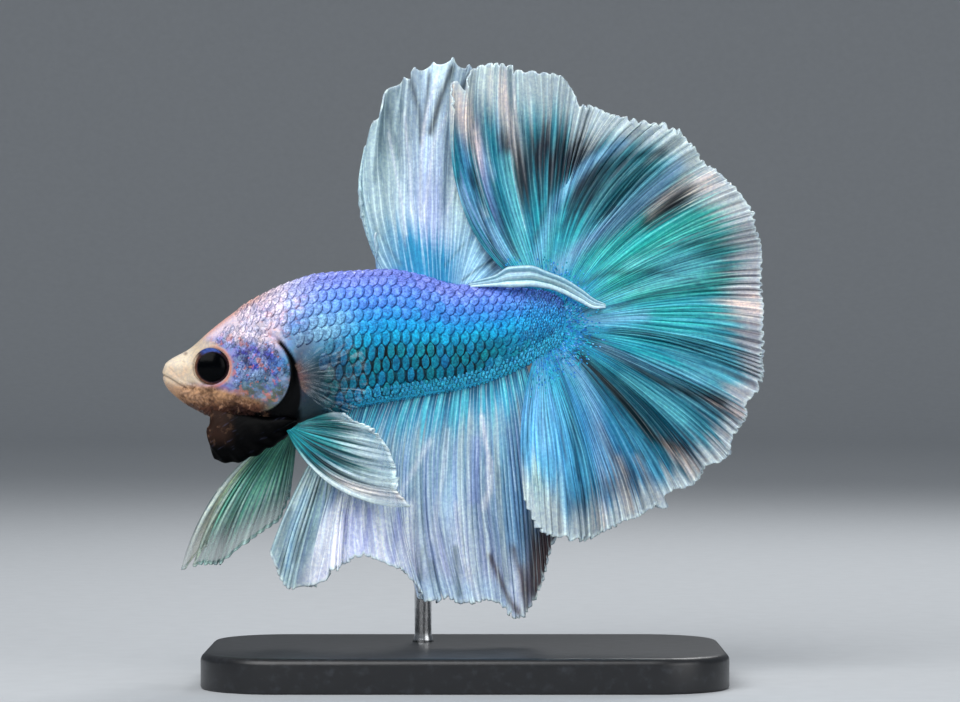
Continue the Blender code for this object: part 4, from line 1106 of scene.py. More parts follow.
def side_scales(word, side, seed):
    """The small scales of one side: four rows along the anal fin's base, the tail root's, which thin
    out forwards, and the cheek's, round the eye and on the gill cover."""
    rng = np.random.default_rng(seed)
    x, r = staggered(rng, (48, 4), (-14.2, 0.52), 0.05)
    z = curve(BELLY_LINE, x) + 0.22 + 0.5 * r + rng.normal(0, 0.04, x.shape)
    kept = x < 9.5
    coat_piece(f"fin_base_scales_{word}", "skin_body", x[kept], side_angle(x[kept], z[kept], side),
               FIN_BASE_SCALE, seed)
    x, r = staggered(rng, (22, 25), (4.6, 0.3), 0.06)
    low, top = outline(x)
    z = low + (top - low) * (0.02 + 0.96 * (r + 0.5) / 25) + rng.normal(0, 0.05, x.shape)
    kept = (rng.random(x.shape) < ramp(x, 4.6, 8.2)) & (x < 11.45)
    coat_piece(f"tail_root_scales_{word}", "skin_body", x[kept], side_angle(x[kept], z[kept], side),
               TAIL_ROOT_SCALE, seed)
    x, r = staggered(rng, (14, 13), (-29.4, 0.74), 0.06)
    z = 33.2 + 0.62 * r + rng.normal(0, 0.06, x.shape)
    cover, angle = gill_place(x, z)
    kept = (cover < 0.88) | ((angle > 75) & (z < curve(BACK_LINE, x) - 1.2))
    kept &= (eye_distance(x, z) > 3) & (z > 34.2 + 0.2 * (x + 27)) & (x > -28.8)
    coat_piece(f"cheek_scales_{word}", "gill_cover", x[kept], side_angle(x[kept], z[kept], side),
               CHEEK_SCALE, seed)


class BETTA_OT_scales(bpy.types.Operator):
    """Overlapping scales of the nape, flanks, tail root and cheeks"""

    bl_idname = "betta.scales"
    bl_label = "Scales"

    def execute(self, context):
        scale_material()
        for name, (share_of_pitch, half_width, rows) in SCALE_ROWS.items():
            row_scales(name, half_width, share_of_pitch, rows)
        for word, side, seed in (("left", -1, 21), ("right", 1, 22)):
            side_scales(word, side, seed)
        return {"FINISHED"}


# ---------------------------------------------------------------- eyes, gill membranes, mouth
def eye_material():
    """Glass eye, painted from behind and polished: a black pupil in a thin iris that is blue above and
    coral below, under a clear hard gloss."""
    material, tree, shader = new_material("painted_glass_eye")
    paint = add(tree, "Attribute", "Color", attribute_name="paint")
    fleck = add(tree, "TexNoise", Vector=add(tree, "TexCoord", "Object"), Scale=2600, Detail=2)
    share = add(tree, "MapRange", Value=fleck, From_Min=0.35, From_Max=0.7, **SMOOTH)
    shade = add(tree, "Mix", 2, **LAYER, in_0=share, in_6=(0.6, 0.6, 0.62), in_7=(1.1, 1.1, 1.1))
    colour = add(tree, "Mix", 2, **TINT, in_6=paint, in_7=shade)
    fitted(tree, shader, Base_Color=colour, Roughness=0.18, Specular_IOR_Level=0.05)
    return material


class BETTA_OT_eyes(bpy.types.Operator):
    """Two glass eyes set in the skin's sockets"""

    bl_idname = "betta.eyes"
    bl_label = "Eyes"

    def execute(self, context):
        material = eye_material()
        for name, side in (("eye_left", -1), ("eye_right", 1)):
            out, turn = spread(np.linspace(0.03, math.pi - 0.03, EYE_GRID[0]), full_turn(EYE_GRID[1]))
            away = np.sin(out) * EYE_RADII[0]
            step = 0.07 * bell(away, 1.95, 0.12) - 0.05 * bell(away, 1.76, 0.06)
            dome = np.cos(out) * EYE_RADII[1] * np.where(out < math.pi / 2, 0.78, 1)
            dome = dome + step * ramp(out, math.pi / 2, 1.4)
            grid = np.stack([EYE_CENTRE[0] + away * np.cos(turn), side * (EYE_CENTRE[1] + dome + 0.16),
                             EYE_CENTRE[2] + away * np.sin(turn)], axis=-1)
            points, faces = loft_mesh(grid, flip=side > 0)
            across, up = (points - EYE_CENTRE)[:, [0, 2]].T - np.array(PUPIL_PLACE)[:, None]
            off = np.maximum(np.hypot(across, up), 0.01)
            across, up = across / off, up / off
            above = ramp(up, 0.7, 0.92) * ramp(across, 0.6, 0.3)
            rear = ramp(up, 0.9, 0.4) * ramp(across, -0.3, 0.3)
            front = ramp(up, 0.8, 0.3) * ramp(across, 0.2, -0.4)
            iris = layered("#33242C",
                           ("#4058A2", above * ramp(off, 1.72, 1.9)),
                           ("#CF8672", 0.85 * ramp(off, 1.86, 1.98) * rear),
                           ("#7A5440", 0.8 * ramp(off, 1.76, 1.9) * front),
                           ("cream", 0.9 * ramp(off, 2.00, 2.14) * front))
            colour = mix(linear("ink") * 0.4, iris, ramp(off, PUPIL_RADIUS - 0.04, PUPIL_RADIUS + 0.08))
            piece = make_piece(name + "_glass", points, faces, material, paint=colour)
            finish_piece(piece, "eye", name)
        return {"FINISHED"}


def gill_membrane_material():
    """Gill membrane, thin dark skin stretched over fine bones: nearly black, satin, with faint grey
    streaks about 0.4 mm apart where the bones lift it and a brown tinge at the throat."""
    material, tree, shader = new_material("dark_gill_membrane")
    paint = add(tree, "Attribute", "Color", attribute_name="paint")
    rays = add(tree, "UVMap", "UV", uv_map="Rays")
    scaled = add(tree, "VectorMath", **TIMES, in_0=rays, in_1=(2.5, 0.5, 1))
    noise = add(tree, "TexNoise", Vector=scaled, Scale=1, Detail=3)
    lift = add(tree, "MapRange", Value=noise, From_Min=0.6, From_Max=0.74, **SMOOTH)
    lift = add(tree, "Math", **TIMES, in_0=lift, in_1=0.05)
    # The jaw's painted shade and highlights, faint, where the membrane is brown at the throat
    base = mottled(tree, paint, *JAW_LUMP_SHADING)
    colour = add(tree, "Mix", 2, **LAYER, in_0=lift, in_6=base, in_7="fin_lilac")
    bump = add(tree, "Bump", Strength=0.5, Distance=0.1 * MM, Height=noise)
    fitted(tree, shader, Base_Color=colour, Normal=bump, Roughness=0.5, Specular_IOR_Level=0.05)
    return material


class BETTA_OT_gill_membranes(bpy.types.Operator):
    """Dark gill membranes hanging under the throat, pleated over their bones"""

    bl_idname = "betta.gill_membranes"
    bl_label = "Gill membranes"

    def execute(self, context):
        material = gill_membrane_material()
        for side, word in ((-1, "left"), (1, "right")):
            t, b = spread(np.linspace(0, 1, BEARD_GRID[0]), full_turn(BEARD_GRID[1]))
            x = BEARD_FRONT + (BEARD_REAR - BEARD_FRONT) * t
            ends = rounded(t, 0.07) * rounded(1 - t, 0.2)
            low = curve(BEARD_LINE, x)
            top = curve(BELLY_LINE, x) + 1.5
            middle, reach = (top + low) / 2, (top - low) / 2
            wide = 1.25 * ends * (0.8 + 0.25 * np.sin(math.pi * t))
            pleat = 0.09 * np.sin(TURN * (6.0 * t + 0.9 * np.sin(b)) + 0.6 * np.sin(9 * t))
            pleat = pleat * ramp(np.sin(b), 0.6, -0.4) * ends
            y = 1.2 + (wide + pleat) * np.cos(b) + 0.9 * ramp(t, 0.4, 1) * ramp(np.sin(b), -0.8, 0.8)
            z = middle + (reach * ends + pleat) * np.sin(b)
            x = x + ramp(np.sin(b), 0, 1) * (0.4 - t) + 0.25 * np.sin(5 * np.sin(b)) * ends
            points, faces = loft_mesh(np.stack([x, side * y, z], axis=-1), flip=side > 0)
            brown = ramp(points[:, 2], 26.8, 28.6) * ramp(points[:, 0], -26.2, -28.2)
            colour = mix(linear("ink") * 0.15, "#2C1E18", 0.9 * brown)
            along = np.stack([points[:, 0] * 0.5 - points[:, 2] * 0.86, points[:, 0]], axis=1)
            piece = make_piece(f"gill_membrane_{word}_skin", points, faces, material,
                               jaw=0.27 * brown, paint=colour, Rays=along)
            finish_piece(piece, "gill_membrane", f"gill_membrane_{word}")
        return {"FINISHED"}


# ---------------------------------------------------------------- fins
def ray_grid(foot, tip, foot_y, tip_y, bow, v):
    """Points of rays: each a chord from foot to tip in side view, bulged sideways by a parabola of bow
    times its length, and leaving the middle plane as the 1.4th power of the way along."""
    chord = tip - foot
    sideways = np.stack([-chord[:, 1], chord[:, 0]], axis=1)
    bulge = (4 * bow[:, None] * v * (1 - v))[..., None] * sideways[:, None]
    flat = foot[:, None] + v[..., None] * chord[:, None] + bulge
    y = foot_y[:, None] + (tip_y - foot_y)[:, None] * v ** 1.4
    return np.stack([flat[..., 0], y, flat[..., 1]], axis=-1)


def fin_rows(count):
    """Places along a ray from foot to tip, evenly spaced, with two close together at the tip."""
    return np.concatenate([np.linspace(0, 0.975, count - 2), [0.991, 1.0]])


def key_columns(rays, u):
    """Foot, tip, sideways tip and bow of the rays at key numbers u, on smooth curves of the number."""
    keys = np.arange(len(rays), dtype=float)
    columns = [curve(np.stack([keys, column], axis=1), u) for column in np.array(rays).T]
    fx, fz, tx, tz, ty, bow = columns
    return np.stack([fx, fz], axis=1), np.stack([tx, tz], axis=1), ty, bow


def pleated(grid, wave):
    """The grid moved along its own normals by the wave, in mm."""
    return grid + normals_of(grid) * wave[..., None]


def rolled(grid, key, v, centre, half_width, depth, shift):
    """The grid with one fold that overlaps itself: across the fold, which leans with the rays, the
    place along the body runs on, back and on again, and y passes from the far layer to the near one;
    both grow from the foot to the tip."""
    q = np.clip((key - centre) / half_width, -1, 1)[:, None]
    grow = ramp(v, 0.25, 0.95)
    out = grid.copy()
    out[..., 0] -= shift * np.sin(math.pi * q) * grow
    out[..., 1] -= depth * np.sin(math.pi * q) * grow
    return out


def folds(u, v, waves, seed):
    """Soft folds across a fin, in mm along its normals: a random wave for each (knots, depth, start,
    full), which begins at one share of the ray's length and is full at the other."""
    out = np.zeros(v.shape)
    for k, (knots, depth, start, full) in enumerate(waves):
        out = out + depth * (streaks(u, knots, seed + k) - 0.5)[:, None] * ramp(v, start, full)
    return out


def swayed(grid, u, v, waves, seed):
    """The grid moved sideways along its rows so that rays draw together and apart: a random wave for
    each (knots, mm, start, full)."""
    inside = ramp(np.minimum(u, 1 - u), 0, 0.03)[:, None]
    return grid + unit(np.gradient(grid, axis=0)) * (folds(u, v, waves, seed) * inside)[..., None]


def scallops(phase):
    """1 at each ray, falling to 0 midway to the next along an arc, so the rim has points at the rays."""
    return 1 - np.abs(np.sin(phase / 2))


def stroked(colour, strokes, x, z):
    """The colour with soft strokes laid over it in turn, each along its line in side view."""
    for name, half, amount, *line in strokes:
        line = list(zip(line[::2], line[1::2]))
        colour = mix(colour, STROKE_COLOURS[name], amount * bell(line_distance(x, z, line), 0, half))
    return colour


def tail_columns(tips):
    """Foot, tip, foot shift, sideways tip and bow of tail rays whose tips lie at these angles. A foot
    lies on a line from the fan's centre, just inside the body's outline."""
    radius = curve(FAN_RIM, tips)
    ends = np.clip((tips - 70) / 46, 0, 1) ** 1.4 + np.clip((-60 - tips) / 45, 0, 1) ** 1.4
    curl = 0.6 * np.cos(np.radians(tips)) - FAN_CURL * ends
    for centre, depth, half_width in FAN_FOLDS:
        curl = curl + depth * bell(tips, centre, half_width)
    bow = curve(FAN_BOWS, tips)
    start = np.radians(tips * np.where(tips > 0, 1.03, 1.14))
    reach = np.linspace(0, 9, 181)
    x = FAN_CENTRE[0] + reach * np.cos(start)[:, None]
    z = FAN_CENTRE[1] + reach * np.sin(start)[:, None]
    inside = (x < TAIL_ROOT_X) & (z < curve(BACK_LINE, x)) & (z > curve(BELLY_LINE, x))
    edge = np.where(inside, reach, 0).max(axis=1) - 0.6
    edge = np.convolve(np.pad(edge, 12, mode="edge"), np.ones(25) / 25, mode="valid")
    foot = np.array(FAN_CENTRE) + edge[:, None] * np.stack([np.cos(start), np.sin(start)], axis=1)
    turn = np.radians(tips)
    tip = np.array(FAN_CENTRE) + radius[:, None] * np.stack([np.cos(turn), np.sin(turn)], axis=1)
    return foot, tip, -0.35 * np.minimum(ends, 1), curl, bow


def tail_margin(turn, d, feather):
    """How far the tail fin's pale margin reaches, by angle and distance to the rim, feathered."""
    margin = np.interp(turn, *np.transpose(TAIL_MARGIN))
    return ramp(d + feather * 0.5, margin * 1.3, margin * 0.3)


def spots(table, turn, r):
    """Shares of soft spots on the tail fin by angle and distance, one for each row of the table: the
    angle of its middle and its half width, its distance and depth, and its amount."""
    return [amount * bell(turn, angle, half) * bell(r, distance, depth)
            for angle, half, distance, depth, amount in table]


def tail_paint(u, grid, d, phase, fold):
    """Colours of the tail fin by angle and distance about its centre, feathered along the rays, with painted
    highlight and shade on its folds and painted shade in its pleats' valleys.
    """
    x, z = grid[..., 0], grid[..., 2]
    dx, dz = x - FAN_CENTRE[0], z - FAN_CENTRE[1]
    turn, r = np.degrees(np.arctan2(dz, dx)), np.hypot(dx, dz)
    turn = np.where(turn < -130, turn + 360, turn)
    fine, mid, wide = (streaks(u, n, k)[:, None] for n, k in ((460, 1), (170, 2), (44, 3)))
    feather = (fine - 0.5) * 4.6 + (mid - 0.5) * 3.0
    reach = r + feather
    colour = layered(
        "#159FB2",
        ("#34BCA8", bell(turn, 24, 30) * ramp(reach, 5, 10) * (0.5 + 0.5 * wide)),
        ("#0FA79C", 0.7 * bell(turn, 66, 20) * bell(reach, 11, 4) * ramp(wide, 0.3, 0.7)),
        ("#0E5A72", ramp(turn, -14, -28) * (0.8 + 0.2 * wide)),
        ("#3490C4", ramp(turn, -44, -62) * (0.6 + 0.4 * mid)),
        ("#62A8E4", 0.7 * ramp(turn, -76, -90) * ramp(reach, 5, 9)),
        ("fin_azure", 0.45 * bell(turn, 2, 20) * fine),
        ("#5CA2B8", 0.7 * bell(turn, -16, 13) * ramp(reach, 12, 17)),
        ("#0A6C80", 0.8 * bell(turn, 80, 28) * ramp(reach, 10, 15)),
        ("#0A5860", 0.95 * bell(turn, 66, 13) * ramp(reach, 12, 16)),
        ("#1C7C9C", 0.6 * ramp(turn, 98, 112) * ramp(reach, 6, 12)),
        ("#40C0D4", 0.55 * ramp(reach, 12, 6) * ramp(wide, 0.35, 0.7)),
        ("turquoise", 0.8 * ramp(reach, 8.5, 4)),
        ("cobalt", 0.7 * ramp(r, 6.5, 3.5) * ramp(mid, 0.3, 0.7)),
        ("#5E9CD6", 0.55 * ramp(turn, 94, 112) * ramp(mid, 0.45, 0.75) * ramp(r, 5, 9)),
        *[("#6CC4DC", share) for share in spots(TAIL_PALE, turn, r)],
        # Painted highlight where a large fold stands out towards the front, painted shade where it sinks away
        ("#5CBCD2", 0.28 * ramp(fold, 0.1, 0.7) * ramp(r, 6, 10)),
        ("#000000", 0.3 * ramp(fold, 0, -0.7) * ramp(r, 5, 10)),
        ("#C4D6CE", 0.7 * ramp(turn, -82, -90) * ramp(reach, 15.5, 20)),
        *[("fin_plum", share) for share in spots(TAIL_PLUM, turn, reach)])
    pale = mix(linear("fin_white") * 0.58, linear("fin_white") * 0.95, 0.25 + 0.75 * mid)
    pale = layered(pale, ("#B8AAB4", 0.6 * bell(turn, 5, 42)))
    colour = mix(colour, pale, 0.92 * tail_margin(turn, d, feather))
    wander = 0.5 * (fine - 0.5) + 0.3 * (mid - 0.5)
    colour = stroked(colour, TAIL_STROKES, x + wander, z + wander)
    # dusk is painted shade in the pleats' valleys near the rim, at the right and low; its mauve-brown is
    # partly the margin's own colour there
    valley = 0.5 - 0.5 * np.cos(phase)[:, None]
    right, low = ramp(turn, -54, -40) * ramp(turn, 48, 26), ramp(turn, -48, -60)
    dusk = (0.8 * right + 0.6 * low) * valley ** 1.8 * ramp(d, 7.5, 3) * (0.5 + 0.5 * wide)
    return layered(
        colour,
        ("#4C3F4B", dusk),
        *[("#FADCD2", share) for share in spots(TAIL_PEACH, turn, reach)],
        ("fin_white", 0.9 * ramp(d, 0.34, 0.1)))


class BETTA_OT_tail_fin(bpy.types.Operator):
    """Tail fin: a fan of pleated rays round one centre, with large folds and a curled rim"""

    bl_idname = "betta.tail_fin"
    bl_label = "Tail fin"

    def execute(self, context):
        across = FAN_PLEATS * FAN_STEPS + 1
        u = np.linspace(0, 1, across)
        v = fin_rows(FAN_ROWS)
        tips = FAN_TOP_ANGLE + (FAN_LOW_ANGLE - FAN_TOP_ANGLE) * u
        foot, tip, foot_y, tip_y, bow = tail_columns(tips)
        phase = TURN * (FAN_PLEATS * u + 0.45 * (streaks(u, 60, 5) - 0.5))
        height = 0.4 + 1.2 * streaks(u, FAN_PLEATS, 6)
        length = np.linalg.norm(tip - foot, axis=1)
        rim = 0.6 * (streaks(u, 50, 8) - 0.5) - 0.16 * scallops(phase) * height
        tip = foot + (tip - foot) * (1 + rim / length)[:, None]
        vs = np.broadcast_to(v, (across, len(v)))
        grid = ray_grid(foot, tip, foot_y, tip_y, bow, vs)
        depth = size_mm("pleat_depth")
        fold = folds(u, vs, TAIL_WAVES, 9)
        ripple = depth * height[:, None] * np.cos(phase)[:, None] * ramp(vs, 0.05, 0.95)
        grid = swayed(pleated(grid, ripple + fold), u, vs, TAIL_SWAY, 19)
        d = (1 - vs) * length[:, None]
        thick = size_mm("membrane") * (0.9 + 1.6 * ramp(vs, 0.25, 0) + 0.4 * ramp(d, 0.5, 0.1))
        paint = tail_paint(u, grid, d, phase, fold)
        numbers = np.broadcast_to(phase[:, None] * TAIL_LINES / TURN, vs.shape)
        rays = np.stack([numbers, vs * length[:, None]], axis=-1)
        calm = tail_margin(tips[:, None], d, 0)
        material = membrane_material("varnished_tail_membrane", 0.36, gap=0.8, ray_light=0.1)
        piece = sheet_piece("tail_fin", grid, thick, material, calm=calm, paint=paint, Rays=rays)
        finish_piece(piece, "fin_tail", "caudal_fin")
        self.root_scales(grid, thick, length)
        return {"FINISHED"}

    def root_scales(self, grid, thick, length):
        """Fine scales that run out from the body along the rays on both faces, smaller and sparser the
        farther they lie from it."""
        rng = np.random.default_rng(17)
        ray, step = spread(np.arange(2, ROOT_LINES - 1), np.arange(ROOT_STEPS))
        out = 0.1 + 0.32 * (step + 0.5 * (ray % 2)) + rng.normal(0, 0.05, ray.shape)
        keep = rng.random(ray.shape) < ramp(out, 5.5, 0.6)
        ray, out = ray[keep], out[keep]
        i = ray / ROOT_LINES * (grid.shape[0] - 1) + rng.normal(0, 1, ray.shape)
        ray_length = length[np.clip(i.astype(int), 0, len(length) - 1)]
        j = np.interp(out / ray_length, fin_rows(FAN_ROWS), np.arange(FAN_ROWS))
        half_long = 0.28 - 0.025 * out
        half_wide = np.clip(0.06 + 0.012 * out, 0.07, 0.12)
        hues = np.array([linear(code) for code in ROOT_HUES])
        hues = hues[rng.choice(len(hues), len(out), p=ROOT_HUE_SHARES)]
        paint = mix(hues, "turquoise", 0.2)[:, None]
        for word, side in (("left", 1), ("right", -1)):
            place, ahead, normal = surface_frame(grid, i, j)
            place = place + normal * side * (sample(thick, i, j) / 2)[:, None]
            points, faces, own = beads(place, ahead, normal * side, half_long, half_wide, 0.055)
            seat = np.stack([i / grid.shape[0] * 0.49 + (0 if side > 0 else 0.5), j / FAN_ROWS], axis=-1)
            each = np.ones((len(out), len(own)))
            bake = np.clip(seat, 0.003, 0.997)[:, None] + 0.0015 * own
            piece = make_piece(
                f"fan_root_scales_{word}", points, faces, bpy.data.materials["iridescent_fish_scale"],
                gap=0.0 * each, chance=rng.random(len(out))[:, None] * each, mottle=0.0 * each,
                paint=paint * each[..., None], Scale=0.6 * own * each[..., None], OFBake=bake)
            finish_piece(piece, "fin_tail")


def sample(grid, i, j):
    """Values of a grid at fractional row i and column j, straight between its points."""
    rows, cols = grid.shape[:2]
    i, j = np.clip(i, 0, rows - 1.001), np.clip(j, 0, cols - 1.001)
    a, b = i.astype(int), j.astype(int)
    fi, fj = i - a, j - b
    if grid.ndim == 3:
        fi, fj = fi[:, None], fj[:, None]
    low = grid[a, b] * (1 - fj) + grid[a, b + 1] * fj
    high = grid[a + 1, b] * (1 - fj) + grid[a + 1, b + 1] * fj
    return low * (1 - fi) + high * fi


def surface_frame(grid, i, j):
    """Places on a grid, the direction of its columns there, and its unit normals."""
    place = sample(grid, i, j)
    return place, unit(sample(grid, i, j + 0.5) - place), unit(sample(normals_of(grid), i, j))


def beads(place, ahead, outward, half_long, half_wide, lift):
    """Small domed scales: each a middle point, an oval of points at 0.6 of its size, and a rim of as
    many sunk below the surface, closed by a flat base."""
    k = np.arange(BEAD_SIDES)
    n = (k + 1) % BEAD_SIDES
    ring = np.stack([np.cos(full_turn(BEAD_SIDES)), np.sin(full_turn(BEAD_SIDES))], axis=1)
    own = np.concatenate([[[0.25, 0.0]], ring * 0.6 + (0.1, 0), ring])
    rise = np.concatenate([[1.0], 0.8 + 0.0 * k, -0.8 + 0.0 * k]) * lift
    sideways = np.cross(outward, ahead)
    points = (place[:, None] + own[None, :, :1] * ahead[:, None] * half_long[:, None, None]
              + own[None, :, 1:] * sideways[:, None] * half_wide[:, None, None]
              + rise[None, :, None] * outward[:, None])
    inner, outer = 1 + k, 1 + BEAD_SIDES + k
    top = np.stack([0 * k, inner, inner[n]], axis=1)
    skirt = np.stack([inner, outer, outer[n], inner[n]], axis=1)
    base = outer[None, ::-1]
    shift = (np.arange(len(place)) * len(own))[:, None, None]
    faces = [(face + shift).reshape(-1, face.shape[1]) for face in (top, skirt, base)]
    return points.reshape(-1, 3), faces, own


def dorsal_paint(u, key, v, grid, d, fold):
    """Colours of the dorsal fin: pale sky and lilac over a turquoise root, with painted shade where folds
    turn in and painted highlight where they stand out.
    """
    x, z = grid[..., 0], grid[..., 2]
    fine, mid = streaks(u, 260, 31)[:, None], streaks(u, 90, 32)[:, None]
    rise = z - curve(BACK_LINE, x)
    root = ramp(rise + (mid - 0.5) * 3, 7, 2.6) * ramp(x, 1.5, -2.5) * (0.35 + 0.65 * ramp(x, -10.5, -6.5))
    colour = layered(
        "#C2DAEE",
        ("fin_lilac", 0.75 * bell(x, -3.6, 2.4) * bell(z, 54.5, 7)),
        ("#A4C0C6", 0.8 * ramp(x, -5.5, -9.5)),
        ("#C6E2D8", 0.7 * bell(x, -0.4, 2.2) * bell(z, 56, 6)),
        ("#96D2F0", 0.85 * bell(x, 2, 3.2) * ramp(z, 57, 51)),
        ("#0C88B8", 0.95 * root),
        # Painted highlight where a fold stands out towards the front, painted shade where it turns away
        ("fin_white", 0.35 * ramp(fold, 0.1, 0.6)),
        ("#000000", 0.4 * ramp(fold, 0, -0.6)),
        ("fin_white", 0.25 * ramp(fine, 0.55, 0.9) * ramp(rise, 3, 8)))
    colour = stroked(colour, DORSAL_STROKES, x, z)
    return mix(colour, linear("fin_white") * 1.05, 0.9 * ramp(d, 0.3, 0.1))


def near_layer(key, v):
    """Where the anal fin's near layer lies over its front lobe, by key ray and place along it."""
    return bell(key, 3.5, 1.6) * ramp(v, 0.5, 0.78) * ramp(key, 1.9, 2.1)


def anal_paint(u, key, v, grid, d, fold):
    """Colours of the anal fin: pale aqua and lilac streaked white, bright dashes where its rays leave the
    body, and grey at its ends, with painted highlight and shade on its folds."""
    x, z = grid[..., 0], grid[..., 2]
    fine, mid, wide = (streaks(u, n, k)[:, None] for n, k in ((420, 41), (150, 42), (46, 43)))
    drop = curve(BELLY_LINE, x) - z
    near = near_layer(key[:, None], v)
    dash = ramp(np.abs((u * ANAL_DASHES + 0.6 * mid[:, 0]) % 1 - 0.5), 0.3, 0.12)[:, None]
    root = ramp(drop + (mid - 0.5) * 3.5, 5.5, 1.2)
    dusk = bell(x, 9.8, 2.6) * bell(z, 13, 6)
    colour = layered(
        "#9CBCD6",
        ("#D8DEFA", ramp(z, 23, 14) * (0.4 + 0.6 * wide)),
        ("#64A2CC", 0.8 * ramp(x, 1, 6) * ramp(z, 12, 17)),
        ("#6A9CB0", 0.7 * ramp(z, 21, 26) * (0.3 + 0.7 * mid)),
        ("#A4C4CC", 0.95 * ramp(key[:, None], 2.1, 1.8)),
        ("#8A9E93", 0.6 * ramp(x, -13, -15) * ramp(z, 20, 22) * ramp(mid, 0.3, 0.7)),
        # The near layer's pale lavender-white, pushed past white as painted light to lift it out of the shade
        # it lies in
        (linear("#F4F2FF") * 1.3, 0.95 * near),
        ("fin_white", 0.55 * ramp(mid, 0.55, 0.85) * ramp(drop, 1.5, 4)),
        ("#8C9CD8", 0.35 * ramp(mid, 0.4, 0.2) * ramp(drop, 3, 8) * (1 - near)),
        # Painted highlight where a fold stands out towards the front, painted shade where it turns away; the
        # fin hangs, so the signs are turned
        ("fin_white", 0.3 * ramp(fold, -0.1, -0.7)),
        ("#000000", 0.22 * ramp(fold, 0, 0.8) * ramp(drop, 2, 6)),
        ("#2498C4", 0.85 * root),
        ("#5CD2E6", 0.9 * dash * ramp(drop + (wide - 0.5) * 4, 6, 0.5)),
        ("#0C4260", 0.55 * (1 - dash) * ramp(drop, 2.8, 0.3)),
        ("#B4D4EC", 0.55 * ramp(d, 3.6, 1.4) * ramp(x, -8, -5) * ramp(x, 6, 3)),
        ("#3A343C", 2.3 * dusk * (0.5 + 0.5 * mid)))
    colour = stroked(colour, ANAL_STROKES, x + 0.3 * (fine - 0.5), z)
    return mix(colour, linear("fin_white") * 1.05, 0.95 * ramp(d, 0.36, 0.12))


def pelvic_paint(u, key, v, grid, d, fold, near):
    """Colours of a pelvic fin: teal-green and blue at the root, paling to the tips, with a white leading ray
    and painted shade between its folds; the right one is duller and beige along its front, and lifted lighter
    by painted light where it lies in shade."""
    fine, mid = streaks(u, 120, 51)[:, None], streaks(u, 34, 52)[:, None]
    key = key[:, None]
    # The third colour and the amount after it are painted shade between the fin's folds
    if near:
        root, tint, fold_shade, depth, tip, lead = "#00747C", "#0898B0", "#0E3A3A", 0.75, "#DCF0F6", 0.95
        own = (("#E4DAD8", 0.85 * bell(key, 0.45, 0.45) * ramp(v, 0.3, 0.6)),
               ("#0C6468", 0.8 * ramp(key, 2.4, 3.8) * ramp(v + (mid - 0.5) * 0.4, 0.8, 0.5)),
               ("#0A2A34", 0.7 * ramp(mid, 0.38, 0.2) * ramp(v, 0.05, 0.2) * ramp(v, 0.7, 0.5)))
    else:
        root, tint, fold_shade, depth, tip, lead = "#40866F", "#3F7F78", "#22423F", 0.5, "#9CBCB4", 0.55
        own = (("#C2BDA4", 0.75 * ramp(key, 1.2, 0.1) * ramp(v, 0.1, 0.5)),
               ("#22302E", 0.55 * ramp(key, 2.6, 4.2) * ramp(v, 0.9, 0.5)),
               ("#2C4A48", 0.7 * bell(key, 1.75, 0.25) * ramp(v, 0.35, 0.6)))
    colour = layered(root, (tint, 0.45 * ramp(mid, 0.5, 0.8)))
    # The far fin lifted lighter towards its tip: partly its own paler, warmer colour, partly painted light
    # against the shade it lies in
    if not near:
        colour = colour * (1 + ramp(v, 0.2, 0.6)[..., None] * np.array([2.9, 1.6, 1.8]))
    return layered(
        colour,
        (fold_shade, depth * bell(mid, 0.2, 0.18) * ramp(v, 0.1, 0.3)),
        (tip, ramp(v + (mid - 0.5) * 0.45, 0.42, 0.84)),
        ("#24506A", 0.4 * ramp(fine, 0.4, 0.15) * ramp(v, 0.15, 0.5)),
        ("fin_white", 0.5 * ramp(fine, 0.68, 0.9) * ramp(v, 0.3, 0.7)),
        *own,
        ("fin_white", lead * ramp(key, 0.26, 0.08) * ramp(v, 0.08, 0.35)),
        ("fin_white", 0.3 * ramp(d, 0.3, 0.1)))


def lock_grid(across, along):
    """Middle surface of the last dorsal rays: a narrow leaf laid back over the tail root."""
    x0, x1 = DORSAL_LOCK[0][0], DORSAL_LOCK[-1][0]
    t, s = spread(np.linspace(0, 1, across), np.linspace(-1, 1, along))
    x = x0 + (x1 - x0) * t
    low = curve([(row[0], row[1]) for row in DORSAL_LOCK], x)
    top = curve([(row[0], row[2]) for row in DORSAL_LOCK], x)
    ridges = 0.2 * np.cos(2.5 * math.pi * s) * np.sin(math.pi * t)
    y = -0.6 - 1.9 * np.clip(t / 0.45, 0, 1) ** 0.7 - ridges
    return np.stack([x, y, (low + top) / 2 + (top - low) / 2 * s], axis=-1)


